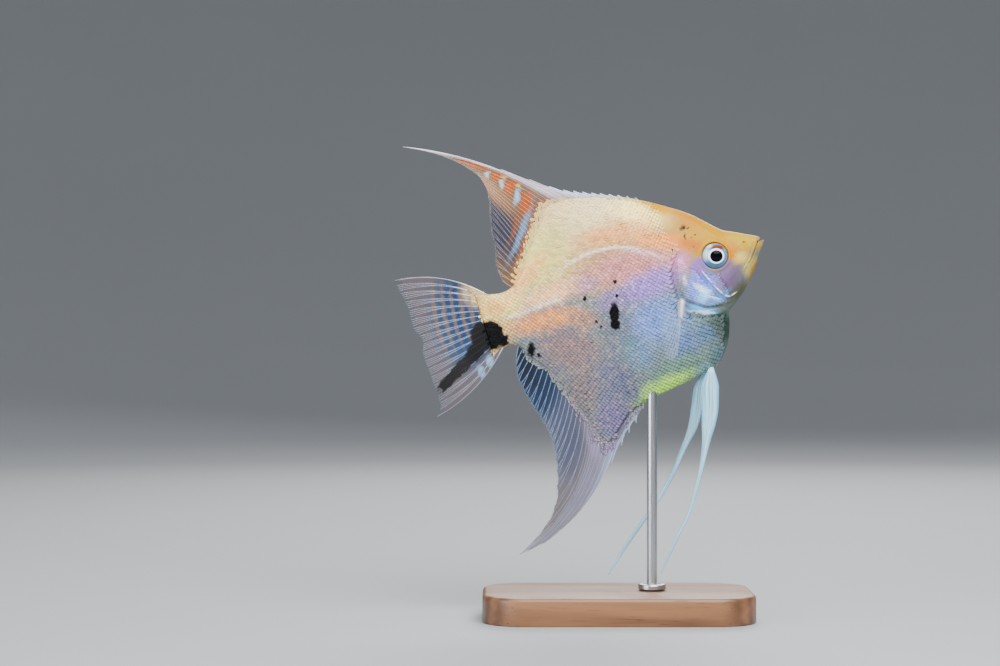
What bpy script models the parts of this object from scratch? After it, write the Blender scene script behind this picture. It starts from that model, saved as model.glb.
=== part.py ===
"""Freshwater angelfish (Pterophyllum scalare), a still life-size model on a display stand.

The fish is drawn level, in its own frame of millimetres: distance behind the
snout, distance out from the mid-plane, and height above the long axis. It is
then tipped nose-up and set over the stand. One lofted body is parted into the
head, jaw, gill covers, trunk and tail stem by its region outlines, and each fin
is a fan of curved rays. World units are metres, +Z up, nose towards +X.
"""
import math

import bmesh
import bpy
from mathutils import Matrix, Vector

# ---- driving dimensions, in millimetres and degrees ----
MM = 0.001
PITCH = math.radians(17.0)
SNOUT = Vector((41.2, 0.0, 109.6))
GAP = 0.3

BODY_FRONT = -0.8
BODY_END = 80.5
STATION_STEP = 3.6
RING_POINTS = 20
EDGE_HALF = 0.45

EYE_AT = (14.3, -0.9)
EYE_RADIUS = 3.85
EYE_HALF_DEPTH = 2.5
EYE_CENTRE_OUT = 3.3
COVER_THICK = 1.2

MEMBRANE_HALF = 0.25
RAY_HALF = 0.40

BASE_SIZE = (78.0, 44.0, 8.0)
BASE_CORNER = 12.0
BASE_BEVEL = 1.2
ROD_X = 10.0
ROD_RADIUS = 1.5
ROD_TOP = 66.6
ROD_SOCKET_DEPTH = 5.0
COLLAR_RADIUS = 4.0
COLLAR_HEIGHT = 1.6
CUT_BEYOND = 5.0

# (distance behind the snout, height) along the back and along the belly
BACK = [(-0.8, -0.7), (0.2, 0.7), (0.9, 1.2), (2.5, 2.0), (7.6, 4.6), (9.5, 5.5), (12.6, 8.3),
        (17.3, 12.8), (22.3, 16.3), (30.0, 20.9), (35.0, 23.2), (40.4, 25.2), (46.4, 26.9), (50.5, 27.4),
        (54.5, 27.3), (56.7, 26.6), (58.2, 24.3), (61.1, 20.7), (66.2, 14.6), (70.2, 9.9),
        (72.6, 7.6), (76.0, 6.9), (80.5, 7.8)]
BELLY = [(-0.8, -1.3), (0.4, -2.8), (2.8, -6.3), (6.2, -10.3), (9.3, -13.6), (12.4, -15.9),
         (14.8, -17.8), (15.5, -20.7), (18.0, -26.6), (21.1, -30.3), (23.4, -31.7), (28.1, -32.5),
         (36.7, -34.0), (43.8, -35.0), (47.7, -36.5), (51.3, -38.3), (54.0, -41.4), (57.0, -43.8),
         (59.0, -43.4), (60.9, -41.0), (62.5, -36.1), (65.4, -27.9), (69.1, -19.6), (73.9, -13.0),
         (76.0, -9.0), (77.5, -8.2), (80.5, -8.4)]
# (distance behind the snout, value): half-width at the widest level, that level's height,
# and how sharply the section narrows to the back and to the belly (1 is an ellipse)
HALF_WIDTH = [(-0.8, 0.9), (0.4, 1.6), (2.5, 2.2), (5.0, 2.9), (9.0, 4.1), (14.0, 5.3), (20.0, 6.3),
              (26.0, 6.8), (33.0, 6.5), (42.0, 5.8), (52.0, 4.7), (62.0, 3.4), (70.0, 2.5),
              (76.0, 2.0), (80.5, 1.4)]
WIDEST = [(-0.8, -1.0), (3.0, -2.2), (9.0, -3.8), (14.0, -4.4), (20.0, -6.5), (28.0, -9.0),
          (38.0, -10.0), (50.0, -8.0), (60.0, -5.0), (70.0, -1.2), (80.5, -0.3)]
BACK_KEEL = [(-0.8, 1.0), (12.0, 1.1), (22.0, 1.35), (35.0, 1.6), (56.0, 1.8), (70.0, 1.3), (80.5, 1.0)]
BELLY_KEEL = [(-0.8, 1.0), (22.0, 1.05), (36.0, 1.15), (46.0, 1.5), (54.0, 2.0), (63.0, 2.0),
              (72.0, 1.3), (80.5, 1.0)]

# outlines on the side of the fish: (distance behind the snout, height)
MOUTH_LINE = [(-3.0, 0.6), (0.6, -0.15), (3.0, -3.0), (6.2, -6.0), (8.2, -10.0), (9.8, -14.3), (9.9, -19.0)]
COVER_EDGE = [(24.9, 1.3), (26.1, -3.0), (26.8, -6.6), (26.5, -9.3), (24.0, -12.2), (19.8, -14.4),
              (14.9, -15.0), (13.0, -14.6)]
COVER_FRONT = [(12.9, -13.6), (14.0, -13.6), (15.7, -12.9), (17.7, -8.6), (19.4, -4.6), (20.3, 0.4),
               (22.6, 1.7)]
THROAT_EDGE = [(11.6, -14.6), (10.8, -20.0)]
NAPE_EDGE = [(22.0, 30.0), (23.0, 17.0), (24.3, 9.0), (24.9, 3.0)]
TAIL_STEM_FRONT = 71.6


def smooth(points):
    """A curve through the points that never overshoots them, as a function of the first value."""
    xs = [p[0] for p in points]
    ys = [p[1] for p in points]
    slopes = [(ys[i + 1] - ys[i]) / (xs[i + 1] - xs[i]) for i in range(len(xs) - 1)]
    tangents = [slopes[0]]
    for before, after in zip(slopes, slopes[1:]):
        tangents.append(0.0 if before * after <= 0 else 2 * before * after / (before + after))
    tangents.append(slopes[-1])

    def value(x):
        x = min(max(x, xs[0]), xs[-1])
        i = max(k for k in range(len(xs) - 1) if xs[k] <= x)
        width = xs[i + 1] - xs[i]
        t = (x - xs[i]) / width
        return (ys[i] * (1 + 2 * t) * (1 - t) ** 2 + ys[i + 1] * t * t * (3 - 2 * t)
                + width * t * (1 - t) * (tangents[i] * (1 - t) - tangents[i + 1] * t))

    return value


back = smooth(BACK)
belly = smooth(BELLY)
half_width = smooth(HALF_WIDTH)
widest = smooth(WIDEST)
back_keel = smooth(BACK_KEEL)
belly_keel = smooth(BELLY_KEEL)


def place(behind, out, height):
    """World position of a point given in the fish's own frame."""
    x = SNOUT.x - behind * math.cos(PITCH) - height * math.sin(PITCH)
    z = SNOUT.z - behind * math.sin(PITCH) + height * math.cos(PITCH)
    return Vector((x, out, z)) * MM


def colour_material(name, colour, roughness, metallic=0.0):
    material = bpy.data.materials.new(name)
    material.use_nodes = True
    shader = material.node_tree.nodes["Principled BSDF"]
    shader.inputs["Base Color"].default_value = (*colour, 1.0)
    shader.inputs["Roughness"].default_value = roughness
    shader.inputs["Metallic"].default_value = metallic
    return material


def make_object(name, bm, material, sharp_angle=35.0):
    bmesh.ops.recalc_face_normals(bm, faces=bm.faces)
    if bm.calc_volume(signed=True) < 0:
        bmesh.ops.reverse_faces(bm, faces=bm.faces)
    mesh = bpy.data.meshes.new(name)
    bm.to_mesh(mesh)
    bm.free()
    mesh.shade_smooth()
    mesh.set_sharp_from_angle(angle=math.radians(sharp_angle))
    mesh.materials.append(material)
    obj = bpy.data.objects.new(name, mesh)
    bpy.context.scene.collection.objects.link(obj)
    return obj


def hide_cutter(obj):
    obj.hide_render = True
    obj.display_type = "WIRE"
    return obj


def boolean(obj, other, operation):
    modifier = obj.modifiers.new(operation.lower() + " " + other.name, "BOOLEAN")
    modifier.operation = operation
    modifier.solver = "EXACT"
    modifier.object = other


# ---- the body loft and the region prisms that part it ----
def section_half_width(behind, height):
    """Half-width of the body at a station and height, 0 outside the outline."""
    level = widest(behind)
    above = height >= level
    reach = (back(behind) if above else belly(behind)) - level
    share = (height - level) / reach
    if share >= 1.0:
        return 0.0
    sine = math.sqrt(1.0 - share * share)
    keel = back_keel(behind) if above else belly_keel(behind)
    return (half_width(behind) - EDGE_HALF) * sine ** keel + EDGE_HALF * math.sqrt(sine)


def body_stations():
    """Stations along the body, closer together where the back or belly is steep."""
    stations = []
    behind = BODY_FRONT
    probe = 0.4
    while behind < BODY_END - 0.5:
        stations.append(behind)
        ahead = min(behind + probe, BODY_END)
        slope = max(abs(back(ahead) - back(behind)), abs(belly(ahead) - belly(behind))) / probe
        behind += STATION_STEP / (1.0 + 0.7 * slope)
    stations.append(BODY_END)
    return stations


def body_loft(shrink=0.0):
    """Rings of points round the body; shrink pulls the two flanks in by that much."""
    bm = bmesh.new()
    rings = []
    quarter = RING_POINTS // 4
    for behind in body_stations():
        level = widest(behind)
        ring = []
        for i in range(RING_POINTS):
            angle = math.pi * i / (2 * quarter)
            lift = math.cos(angle)
            reach = (back(behind) if lift >= 0 else belly(behind)) - level
            height = level + abs(lift) * reach
            sine = abs(math.sin(angle))
            keel = back_keel(behind) if lift >= 0 else belly_keel(behind)
            out = (half_width(behind) - EDGE_HALF) * sine ** keel + EDGE_HALF * math.sqrt(sine)
            out = max(out - shrink, out * 0.05)
            side = 1.0 if math.sin(angle) >= 0 else -1.0
            ring.append(bm.verts.new(place(behind, side * out, height)))
        rings.append(ring)
    for first, second in zip(rings, rings[1:]):
        for i in range(RING_POINTS):
            j = (i + 1) % RING_POINTS
            bm.faces.new((first[i], first[j], second[j], second[i]))
    bm.faces.new(rings[0][::-1])
    bm.faces.new(rings[-1])
    return bm


def region_prism(outline, out_from, out_to):
    """A side-view outline in the fish's frame, pushed across from one distance out to another."""
    bm = bmesh.new()
    near = [bm.verts.new(place(behind, out_from, height)) for behind, height in outline]
    far = [bm.verts.new(place(behind, out_to, height)) for behind, height in outline]
    count = len(outline)
    bm.faces.new(near)
    bm.faces.new(far[::-1])
    for i in range(count):
        j = (i + 1) % count
        bm.faces.new((near[j], near[i], far[i], far[j]))
    return bm


def moved_aside(points, distance):
    """The points of an open line, each moved to the line's left by a distance."""
    moved = []
    for i, (x, y) in enumerate(points):
        x0, y0 = points[max(i - 1, 0)]
        x1, y1 = points[min(i + 1, len(points) - 1)]
        length = math.hypot(x1 - x0, y1 - y0)
        moved.append((x - (y1 - y0) / length * distance, y + (x1 - x0) / length * distance))
    return moved


def grown(outline, distance):
    """A closed outline, drawn clockwise in the fish's frame, made larger all round."""
    ring = [outline[-1]] + outline + [outline[0]]
    return moved_aside(ring, distance)[1:-1]


def make_body(scene_objects):
    skin = colour_material("pearly skin", (0.78, 0.66, 0.60), 0.38)
    face = colour_material("golden head skin", (0.86, 0.62, 0.20), 0.36)
    lip = colour_material("yellow jaw skin", (0.80, 0.62, 0.28), 0.38)
    cover = colour_material("bright gill cover", (0.66, 0.74, 0.90), 0.25)
    wide = 20.0
    half_gap = GAP / 2

    def cutter(name, bm):
        return hide_cutter(make_object(name, bm, skin))

    mouth_front = moved_aside(MOUTH_LINE, -half_gap)
    mouth_back = moved_aside(MOUTH_LINE, half_gap)
    head_rear = NAPE_EDGE + moved_aside(COVER_EDGE, half_gap) + THROAT_EDGE
    rear_front = moved_aside(head_rear, -half_gap)
    rear_back = moved_aside(head_rear, half_gap)
    jaw_region = cutter("cut_jaw_region", region_prism(mouth_front + [(-8.0, -19.0)], -wide, wide))
    head_region = cutter("cut_head_region",
                         region_prism(mouth_back + [(10.2, -20.0)] + rear_front[::-1] + [(-8.0, 30.0)],
                                      -wide, wide))
    stem_front = TAIL_STEM_FRONT - half_gap
    trunk_outline = rear_back + [(10.6, -50.0), (stem_front, -50.0), (stem_front, 40.0), (22.0, 40.0)]
    trunk_region = cutter("cut_trunk_region", region_prism(trunk_outline, -wide, wide))
    stem_outline = [(stem_front + GAP, -50.0), (90.0, -50.0), (90.0, 40.0), (stem_front + GAP, 40.0)]
    stem_region = cutter("cut_stem_region", region_prism(stem_outline, -wide, wide))

    regions = {"lower_jaw": (jaw_region, lip), "head": (head_region, face),
               "trunk": (trunk_region, skin), "tail_stem": (stem_region, skin)}
    for name, (region, material) in regions.items():
        obj = make_object(name, body_loft(), material)
        boolean(obj, region, "INTERSECT")
        scene_objects[name] = obj

    deep_core = cutter("cut_core_under_recess", body_loft(COVER_THICK + GAP))
    cover_core = cutter("cut_core_under_cover", body_loft(COVER_THICK))
    outline = COVER_FRONT + COVER_EDGE
    for side, sign in (("right", -1.0), ("left", 1.0)):
        plate = make_object("gill_cover_" + side, body_loft(), cover)
        boolean(plate, cutter("cut_cover_" + side, region_prism(outline, 0.0, sign * wide)), "INTERSECT")
        boolean(plate, cover_core, "DIFFERENCE")
        scene_objects[plate.name] = plate
        recess = cutter("cut_recess_" + side, region_prism(grown(outline, GAP), 0.0, sign * wide))
        boolean(recess, deep_core, "DIFFERENCE")
        boolean(scene_objects["head"], recess, "DIFFERENCE")


# ---- eyes ----
def make_eyeball(name, sign, grow, material, columns=16, rows=8):
    bm = bmesh.new()
    bmesh.ops.create_uvsphere(bm, u_segments=columns, v_segments=rows, radius=1.0)
    radius = EYE_RADIUS + grow
    depth = EYE_HALF_DEPTH + grow
    for vert in bm.verts:
        x, y, z = vert.co
        vert.co = place(EYE_AT[0] + radius * x, sign * (EYE_CENTRE_OUT + depth * z), EYE_AT[1] + radius * y)
    return make_object(name, bm, material)


def make_eyes(scene_objects):
    glossy = colour_material("wet eye", (0.10, 0.16, 0.22), 0.08)
    for side, sign in (("right", -1.0), ("left", 1.0)):
        socket = hide_cutter(make_eyeball("cut_socket_" + side, sign, GAP, glossy))
        boolean(scene_objects["head"], socket, "DIFFERENCE")
        scene_objects["eye_" + side] = make_eyeball("eye_" + side, sign, 0.0, glossy)


# ---- fins: fans of curved rays ----
def edge_path(outline, first, last, outward):
    """Points along the back or belly between two stations, with the distance run so far."""
    steps = 160
    path = []
    run = 0.0
    for i in range(steps + 1):
        behind = first + (last - first) * i / steps
        nearby = 0.05
        slope = (outline(behind + nearby) - outline(behind - nearby)) / (2 * nearby)
        length = math.hypot(1.0, slope)
        point = (behind - outward * slope / length, outline(behind) + outward / length)
        if path:
            run += math.dist(point, path[-1][1])
        path.append((run, point))
    return path


def along(path, share):
    """The point at a share of a path's length."""
    target = share * path[-1][0]
    for (run0, p0), (run1, p1) in zip(path, path[1:]):
        if target <= run1:
            t = 0.0 if run1 == run0 else (target - run0) / (run1 - run0)
            return (p0[0] + (p1[0] - p0[0]) * t, p0[1] + (p1[1] - p0[1]) * t)
    return path[-1][1]


def curves_by_share(rows):
    """Turns rows of (share, value, value, ...) into one smooth function for each value."""
    return [smooth([(row[0], row[k]) for row in rows]) for k in range(1, len(rows[0]))]


def ray_fan(name, material, shares, root, tip, bow, rows, sway, webbed):
    """A closed fan. shares lists the ray columns; web columns lie half-way between them."""
    columns = []
    for i, share in enumerate(shares):
        columns.append((share, True))
        if i + 1 < len(shares):
            columns.append(((share + shares[i + 1]) / 2, False))
    bm = bmesh.new()
    grid = []
    for share, is_ray in columns:
        root_b, root_h = root(share)
        tip_b, tip_h = tip(share)
        length = math.hypot(tip_b - root_b, tip_h - root_h)
        side_b = -(tip_h - root_h) / length
        side_h = (tip_b - root_b) / length
        reach = 1.0 if is_ray else webbed(share)
        column = []
        for k in range(rows + 1):
            v = reach * k / rows
            lean = 4.0 * bow(share) * length * v * (1.0 - v)
            behind = root_b + (tip_b - root_b) * v + side_b * lean
            height = root_h + (tip_h - root_h) * v + side_h * lean
            middle = sway(share, v * length)
            thick = (RAY_HALF if is_ray else MEMBRANE_HALF) * (1.0 - v) + MEMBRANE_HALF * v
            column.append((bm.verts.new(place(behind, middle - thick, height)),
                           bm.verts.new(place(behind, middle + thick, height))))
        grid.append(column)
    last = len(grid) - 1
    for i in range(last):
        for k in range(rows):
            for side in (0, 1):
                corners = (grid[i][k], grid[i + 1][k], grid[i + 1][k + 1], grid[i][k + 1])
                loop = [corner[side] for corner in corners]
                bm.faces.new(loop if side else loop[::-1])
        for k in (0, rows):
            bm.faces.new((grid[i][k][0], grid[i][k][1], grid[i + 1][k][1], grid[i + 1][k][0]))
    for i in (0, last):
        for k in range(rows):
            bm.faces.new((grid[i][k][0], grid[i][k][1], grid[i][k + 1][1], grid[i][k + 1][0]))
    return make_object(name, bm, material, sharp_angle=60.0)


def spread_shares(groups):
    """Ray columns: each group is (first share, last share, number of rays)."""
    shares = []
    for first, last, count in groups:
        shares += [first + (last - first) * i / (count - 1) for i in range(count)]
    return shares


def make_dorsal_fin():
    material = colour_material("orange barred fin", (0.72, 0.52, 0.40), 0.35)
    path = edge_path(back, 29.8, 72.4, GAP)
    # (share of the base, distance behind the snout and height of the ray tip, bow upwards)
    rows = [(0.0, 31.0, 21.95, 0.0), (0.1, 37.5, 24.85, 0.0), (0.2, 44.0, 27.5, 0.0),
            (0.3, 51.1, 30.6, 0.0), (0.36, 58.3, 35.6, 0.01), (0.40, 66.0, 41.3, 0.02),
            (0.43, 91.5, 55.9, 0.06), (0.47, 86.0, 53.2, 0.06), (0.51, 78.5, 47.8, 0.05),
            (0.55, 75.2, 44.6, 0.04), (0.62, 72.4, 40.8, 0.02), (0.715, 71.4, 36.6, 0.0),
            (0.77, 71.8, 33.6, 0.0), (0.82, 72.5, 30.6, 0.0), (0.87, 73.6, 25.5, 0.0),
            (0.92, 74.2, 20.0, 0.0), (0.96, 75.3, 14.8, 0.0), (1.0, 74.8, 9.8, 0.0)]
    tip_b, tip_h, bow = curves_by_share(rows)
    shares = spread_shares([(0.0, 0.40, 12), (0.43, 1.0, 24)])
    return ray_fan("dorsal_fin", material, shares, lambda u: along(path, u),
                   lambda u: (tip_b(u), tip_h(u)), bow, 5,
                   lambda u, run: 0.55 * math.sin(run / 7.0) * min(run / 10.0, 1.0),
                   lambda u: 0.80 if u < 0.41 else 0.97)


def make_anal_fin():
    material = colour_material("blue and lavender fin", (0.42, 0.46, 0.60), 0.35)
    path = edge_path(belly, 45.6, 75.9, -GAP)
    # (share of the base, distance behind the snout and height of the ray tip, bow forwards)
    rows = [(0.0, 46.7, -37.1, 0.0), (0.05, 49.8, -40.4, 0.0), (0.10, 52.6, -42.6, -0.02),
            (0.15, 55.9, -45.6, -0.03), (0.20, 60.2, -49.6, -0.03), (0.25, 66.2, -55.2, -0.04),
            (0.29, 76.2, -62.0, -0.075), (0.33, 87.5, -66.4, -0.105), (0.38, 93.6, -67.1, -0.12),
            (0.43, 90.0, -65.3, -0.12), (0.47, 84.5, -61.7, -0.11), (0.50, 80.0, -57.0, -0.09),
            (0.53, 77.4, -51.4, -0.07), (0.57, 75.8, -46.0, -0.05), (0.62, 74.9, -41.0, -0.04),
            (0.68, 74.8, -36.3, -0.03), (0.75, 75.9, -31.5, -0.03), (0.82, 77.3, -26.2, -0.02),
            (0.87, 78.3, -21.5, -0.02), (0.91, 78.7, -18.3, -0.01), (0.96, 78.2, -14.5, 0.0),
            (1.0, 77.2, -11.6, 0.0)]
    tip_b, tip_h, bow = curves_by_share(rows)
    shares = spread_shares([(0.0, 0.25, 6), (0.29, 1.0, 25)])
    return ray_fan("anal_fin", material, shares, lambda u: along(path, u),
                   lambda u: (tip_b(u), tip_h(u)), bow, 5,
                   lambda u, run: 0.7 * math.sin(run / 8.0 + 3.0 * u) * min(run / 10.0, 1.0),
                   lambda u: 0.74 if u < 0.26 else 0.97)


def make_caudal_fin():
    material = colour_material("barred tail fin", (0.45, 0.55, 0.68), 0.35)
    rows = [(0.0, 105.0, 19.4), (0.08, 104.6, 16.3), (0.20, 103.4, 11.0), (0.35, 103.6, 4.6),
            (0.45, 101.9, 0.4), (0.55, 103.1, -3.4), (0.80, 102.6, -13.4), (0.93, 102.6, -19.0),
            (1.0, 104.6, -21.9)]
    tip_b, tip_h = curves_by_share(rows)
    root_b = BODY_END + GAP
    shares = spread_shares([(0.0, 1.0, 17)])
    return ray_fan("caudal_fin", material, shares, lambda u: (root_b, 7.6 - 15.8 * u),
                   lambda u: (tip_b(u), tip_h(u)), lambda u: 0.10 - 0.18 * u, 5,
                   lambda u, run: 0.8 * math.sin(run / 9.0 + 2.0 * u) * min(run / 12.0, 1.0),
                   lambda u: 0.965)


def make_pectoral_fin(side, sign):
    """A clear rounded paddle, made flat and then swung well out about its root line."""
    material = colour_material("clear breast fin", (0.80, 0.82, 0.84), 0.30)
    root_top = (28.0, -9.8)
    root_low = (29.6, -16.4)
    swing = math.radians(72.0)
    length = smooth([(0.0, 13.5), (0.35, 18.5), (0.6, 18.0), (0.85, 14.5), (1.0, 10.5)])
    stand_off = GAP + 0.25
    out_top = section_half_width(*root_top) + stand_off
    out_low = section_half_width(*root_low) + stand_off

    def root(u):
        return (root_top[0] + (root_low[0] - root_top[0]) * u, root_top[1] + (root_low[1] - root_top[1]) * u)

    def tip(u):
        dip = math.radians(50.0 * u - 6.0)
        behind, height = root(u)
        return (behind + length(u) * math.cos(dip), height - length(u) * math.sin(dip))

    def sway(u, run):
        return sign * (out_top + (out_low - out_top) * u - run * run * 0.006)

    fin = ray_fan("pectoral_fin_" + side, material, spread_shares([(0.0, 1.0, 11)]), root, tip,
                  lambda u: 0.02, 4, sway, lambda u: 0.98)
    hinge = place(root_top[0], sign * out_top, root_top[1])
    hinge_line = place(root_low[0], sign * out_low, root_low[1]) - hinge
    turn = Matrix.Rotation(sign * swing, 4, hinge_line)
    fin.data.transform(Matrix.Translation(hinge) @ turn @ Matrix.Translation(-hinge))
    fin.data.update()
    return fin


def make_pelvic_fin(side, sign, route, widths, splay):
    """A silky fin: a broad root that draws out to a long thread, on a smooth route."""
    material = colour_material("silky feeler", (0.74, 0.88, 0.92), 0.35)
    run = [0.0]
    for first, second in zip(route, route[1:]):
        run.append(run[-1] + math.dist(first, second))
    centre_b = smooth([(r, p[0]) for r, p in zip(run, route)])
    centre_h = smooth([(r, p[1]) for r, p in zip(run, route)])
    width = smooth(widths)
    bm = bmesh.new()
    stations = 18
    around = 8
    rings = []
    for i in range(stations + 1):
        r = run[-1] * (i / stations) ** 1.15
        step = 0.2
        ahead_b = centre_b(r + step) - centre_b(r - step)
        ahead_h = centre_h(r + step) - centre_h(r - step)
        length = math.hypot(ahead_b, ahead_h)
        across_b, across_h = -ahead_h / length, ahead_b / length
        half = width(r) / 2
        thick = min(half, MEMBRANE_HALF + 0.25 * math.exp(-r / 12.0))
        middle = sign * splay(r)
        ring = []
        for k in range(around):
            angle = 2 * math.pi * k / around
            offset = half * math.cos(angle)
            out = middle + thick * math.sin(angle)
            ring.append(bm.verts.new(place(centre_b(r) + across_b * offset, out,
                                           centre_h(r) + across_h * offset)))
        rings.append(ring)
    for first, second in zip(rings, rings[1:]):
        for k in range(around):
            j = (k + 1) % around
            bm.faces.new((first[k], first[j], second[j], second[k]))
    bm.faces.new(rings[0][::-1])
    bm.faces.new(rings[-1])
    return make_object("pelvic_fin_" + side, bm, material, sharp_angle=50.0)


def make_pelvic_fins():
    right_route = [(24.9, -32.6), (26.6, -36.9), (28.6, -43.0), (31.7, -49.9), (34.9, -56.2),
                   (38.5, -62.3), (42.8, -68.9), (47.8, -74.3), (52.4, -79.4), (55.8, -83.3)]
    left_route = [(27.4, -33.6), (29.3, -36.6), (31.3, -41.3), (34.1, -46.5), (38.6, -52.0),
                  (43.5, -57.9), (49.6, -63.8), (56.3, -69.1), (63.8, -75.1), (70.1, -80.8)]
    right_widths = [(0.0, 2.6), (4.5, 5.2), (10.0, 4.9), (15.0, 4.0), (19.0, 2.7), (23.0, 1.85),
                    (30.0, 1.0), (40.0, 0.65), (60.0, 0.55)]
    left_widths = [(0.0, 2.2), (4.0, 3.4), (9.0, 3.4), (14.0, 2.9), (18.5, 1.9), (24.0, 1.3),
                   (32.0, 0.95), (45.0, 0.75), (65.0, 0.55)]
    make_pelvic_fin("right", -1.0, right_route, right_widths, lambda r: 2.0 + 5.2 * (1 - math.exp(-r / 28.0)))
    make_pelvic_fin("left", 1.0, left_route, left_widths, lambda r: 2.0 + 5.6 * (1 - math.exp(-r / 22.0)))


# ---- the display stand ----
def make_stand(scene_objects):
    wood = colour_material("walnut base", (0.16, 0.09, 0.055), 0.45)
    steel = colour_material("steel rod", (0.62, 0.62, 0.63), 0.30, metallic=1.0)
    length, width, thickness = BASE_SIZE
    corner_steps = 6
    bm = bmesh.new()
    outline = []
    for cx, cy, start in ((1, 1, 0), (-1, 1, 90), (-1, -1, 180), (1, -1, 270)):
        for i in range(corner_steps + 1):
            angle = math.radians(start + 90.0 * i / corner_steps)
            x = cx * (length / 2 - BASE_CORNER) + BASE_CORNER * math.cos(angle)
            y = cy * (width / 2 - BASE_CORNER) + BASE_CORNER * math.sin(angle)
            outline.append(bm.verts.new(Vector((x, y, 0.0)) * MM))
    bottom = bm.faces.new(outline)
    top = bmesh.ops.extrude_face_region(bm, geom=[bottom])
    raised = [e for e in top["geom"] if isinstance(e, bmesh.types.BMVert)]
    bmesh.ops.translate(bm, verts=raised, vec=Vector((0.0, 0.0, thickness)) * MM)
    rim = [e for e in bm.edges if all(v.co.z > 0.5 * thickness * MM for v in e.verts)]
    bmesh.ops.bevel(bm, geom=rim, offset=BASE_BEVEL * MM, segments=2, profile=0.6, affect="EDGES")
    base = make_object("stand_base", bm, wood)

    def cylinder(name, radius, z0, z1, segments, material):
        bm = bmesh.new()
        rings = []
        for z in (z0, z1):
            rings.append([bm.verts.new(Vector((ROD_X + radius * math.cos(2 * math.pi * i / segments),
                                               radius * math.sin(2 * math.pi * i / segments), z)) * MM)
                          for i in range(segments)])
        for i in range(segments):
            j = (i + 1) % segments
            bm.faces.new((rings[0][i], rings[0][j], rings[1][j], rings[1][i]))
        bm.faces.new(rings[0][::-1])
        bm.faces.new(rings[1])
        return make_object(name, bm, material)

    socket_floor = thickness - ROD_SOCKET_DEPTH
    base_hole = hide_cutter(cylinder("cut_base_hole", ROD_RADIUS + GAP, socket_floor,
                                     thickness + CUT_BEYOND, 16, steel))
    boolean(base, base_hole, "DIFFERENCE")
    under_belly = ROD_TOP - 2 * CUT_BEYOND
    body_hole = hide_cutter(cylinder("cut_belly_hole", ROD_RADIUS + GAP, under_belly,
                                     ROD_TOP + GAP, 16, steel))
    boolean(scene_objects["trunk"], body_hole, "DIFFERENCE")
    rod = cylinder("stand_rod", ROD_RADIUS, socket_floor + GAP, ROD_TOP, 16, steel)
    collar_foot = thickness + GAP
    collar = hide_cutter(cylinder("cut_collar_shape", COLLAR_RADIUS, collar_foot,
                                  collar_foot + COLLAR_HEIGHT, 24, steel))
    boolean(rod, collar, "UNION")


def build():
    for obj in list(bpy.data.objects):
        bpy.data.objects.remove(obj, do_unlink=True)
    scene_objects = {}
    make_body(scene_objects)
    make_eyes(scene_objects)
    make_dorsal_fin()
    make_anal_fin()
    make_caudal_fin()
    for side, sign in (("right", -1.0), ("left", 1.0)):
        make_pectoral_fin(side, sign)
    make_pelvic_fins()
    make_stand(scene_objects)


build()
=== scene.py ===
"""Looks of a still, life-size freshwater angelfish on a display stand.

Sizes are in millimetres unless a name says otherwise. The fish is shaped level, in
its own frame (distance behind the snout, distance out from the mid-plane, height
above the long axis), and place() then tips it nose-up over its stand.
"""
import math
import random

import bmesh
import bpy
import numpy as np
from mathutils import Matrix, Vector


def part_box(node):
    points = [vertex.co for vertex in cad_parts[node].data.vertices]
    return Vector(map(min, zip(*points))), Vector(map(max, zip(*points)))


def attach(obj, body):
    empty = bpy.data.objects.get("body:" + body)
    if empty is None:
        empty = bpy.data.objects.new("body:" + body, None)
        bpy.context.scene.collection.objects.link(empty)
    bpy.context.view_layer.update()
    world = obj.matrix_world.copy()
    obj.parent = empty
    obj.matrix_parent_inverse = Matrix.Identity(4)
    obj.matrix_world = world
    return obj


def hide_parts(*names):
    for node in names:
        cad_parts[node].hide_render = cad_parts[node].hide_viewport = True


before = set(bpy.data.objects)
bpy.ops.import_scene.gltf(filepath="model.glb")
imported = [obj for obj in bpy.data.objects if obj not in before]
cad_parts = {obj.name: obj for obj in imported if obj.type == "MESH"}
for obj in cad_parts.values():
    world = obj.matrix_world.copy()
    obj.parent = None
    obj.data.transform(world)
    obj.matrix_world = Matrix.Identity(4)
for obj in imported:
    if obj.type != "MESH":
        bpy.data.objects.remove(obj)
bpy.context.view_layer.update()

bpy.ops.object.select_all(action="DESELECT")

# ---- The view: a level camera on the fish's right side ----
# A portrait lens at about two thirds of a metre, level with the middle of the fish,
# so the base sits low in the picture and the tail side is left open.
mm = 0.001
view_width = 289.2
lens_length = 85.0
sensor_width = 36.0
view_centre = Vector((-33.96, 0.0, 82.4)) * mm
view_distance = view_width * lens_length / sensor_width * mm
bpy.ops.object.camera_add(location=view_centre - Vector((0.0, view_distance, 0.0)),
                          rotation=(math.radians(90.0), 0.0, 0.0))
camera = bpy.context.object
camera.data.lens = lens_length
camera.data.sensor_width = sensor_width
camera.data.clip_start = 0.02
bpy.context.scene.camera = camera

# ---- The studio: a round pale sweep and soft lamps ----
# A matt painted floor that turns up into a wall all round, lit by a soft lamp high over
# the fish's right side, a weaker one off its tail, and a third behind for the far side.
sweep_floor_radius = 0.85
sweep_bend_radius = 1.2
sweep_wall_height = 1.6
bend_steps = 14
fish_middle = Vector((0.0, 0.0, 85.0)) * mm


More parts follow.
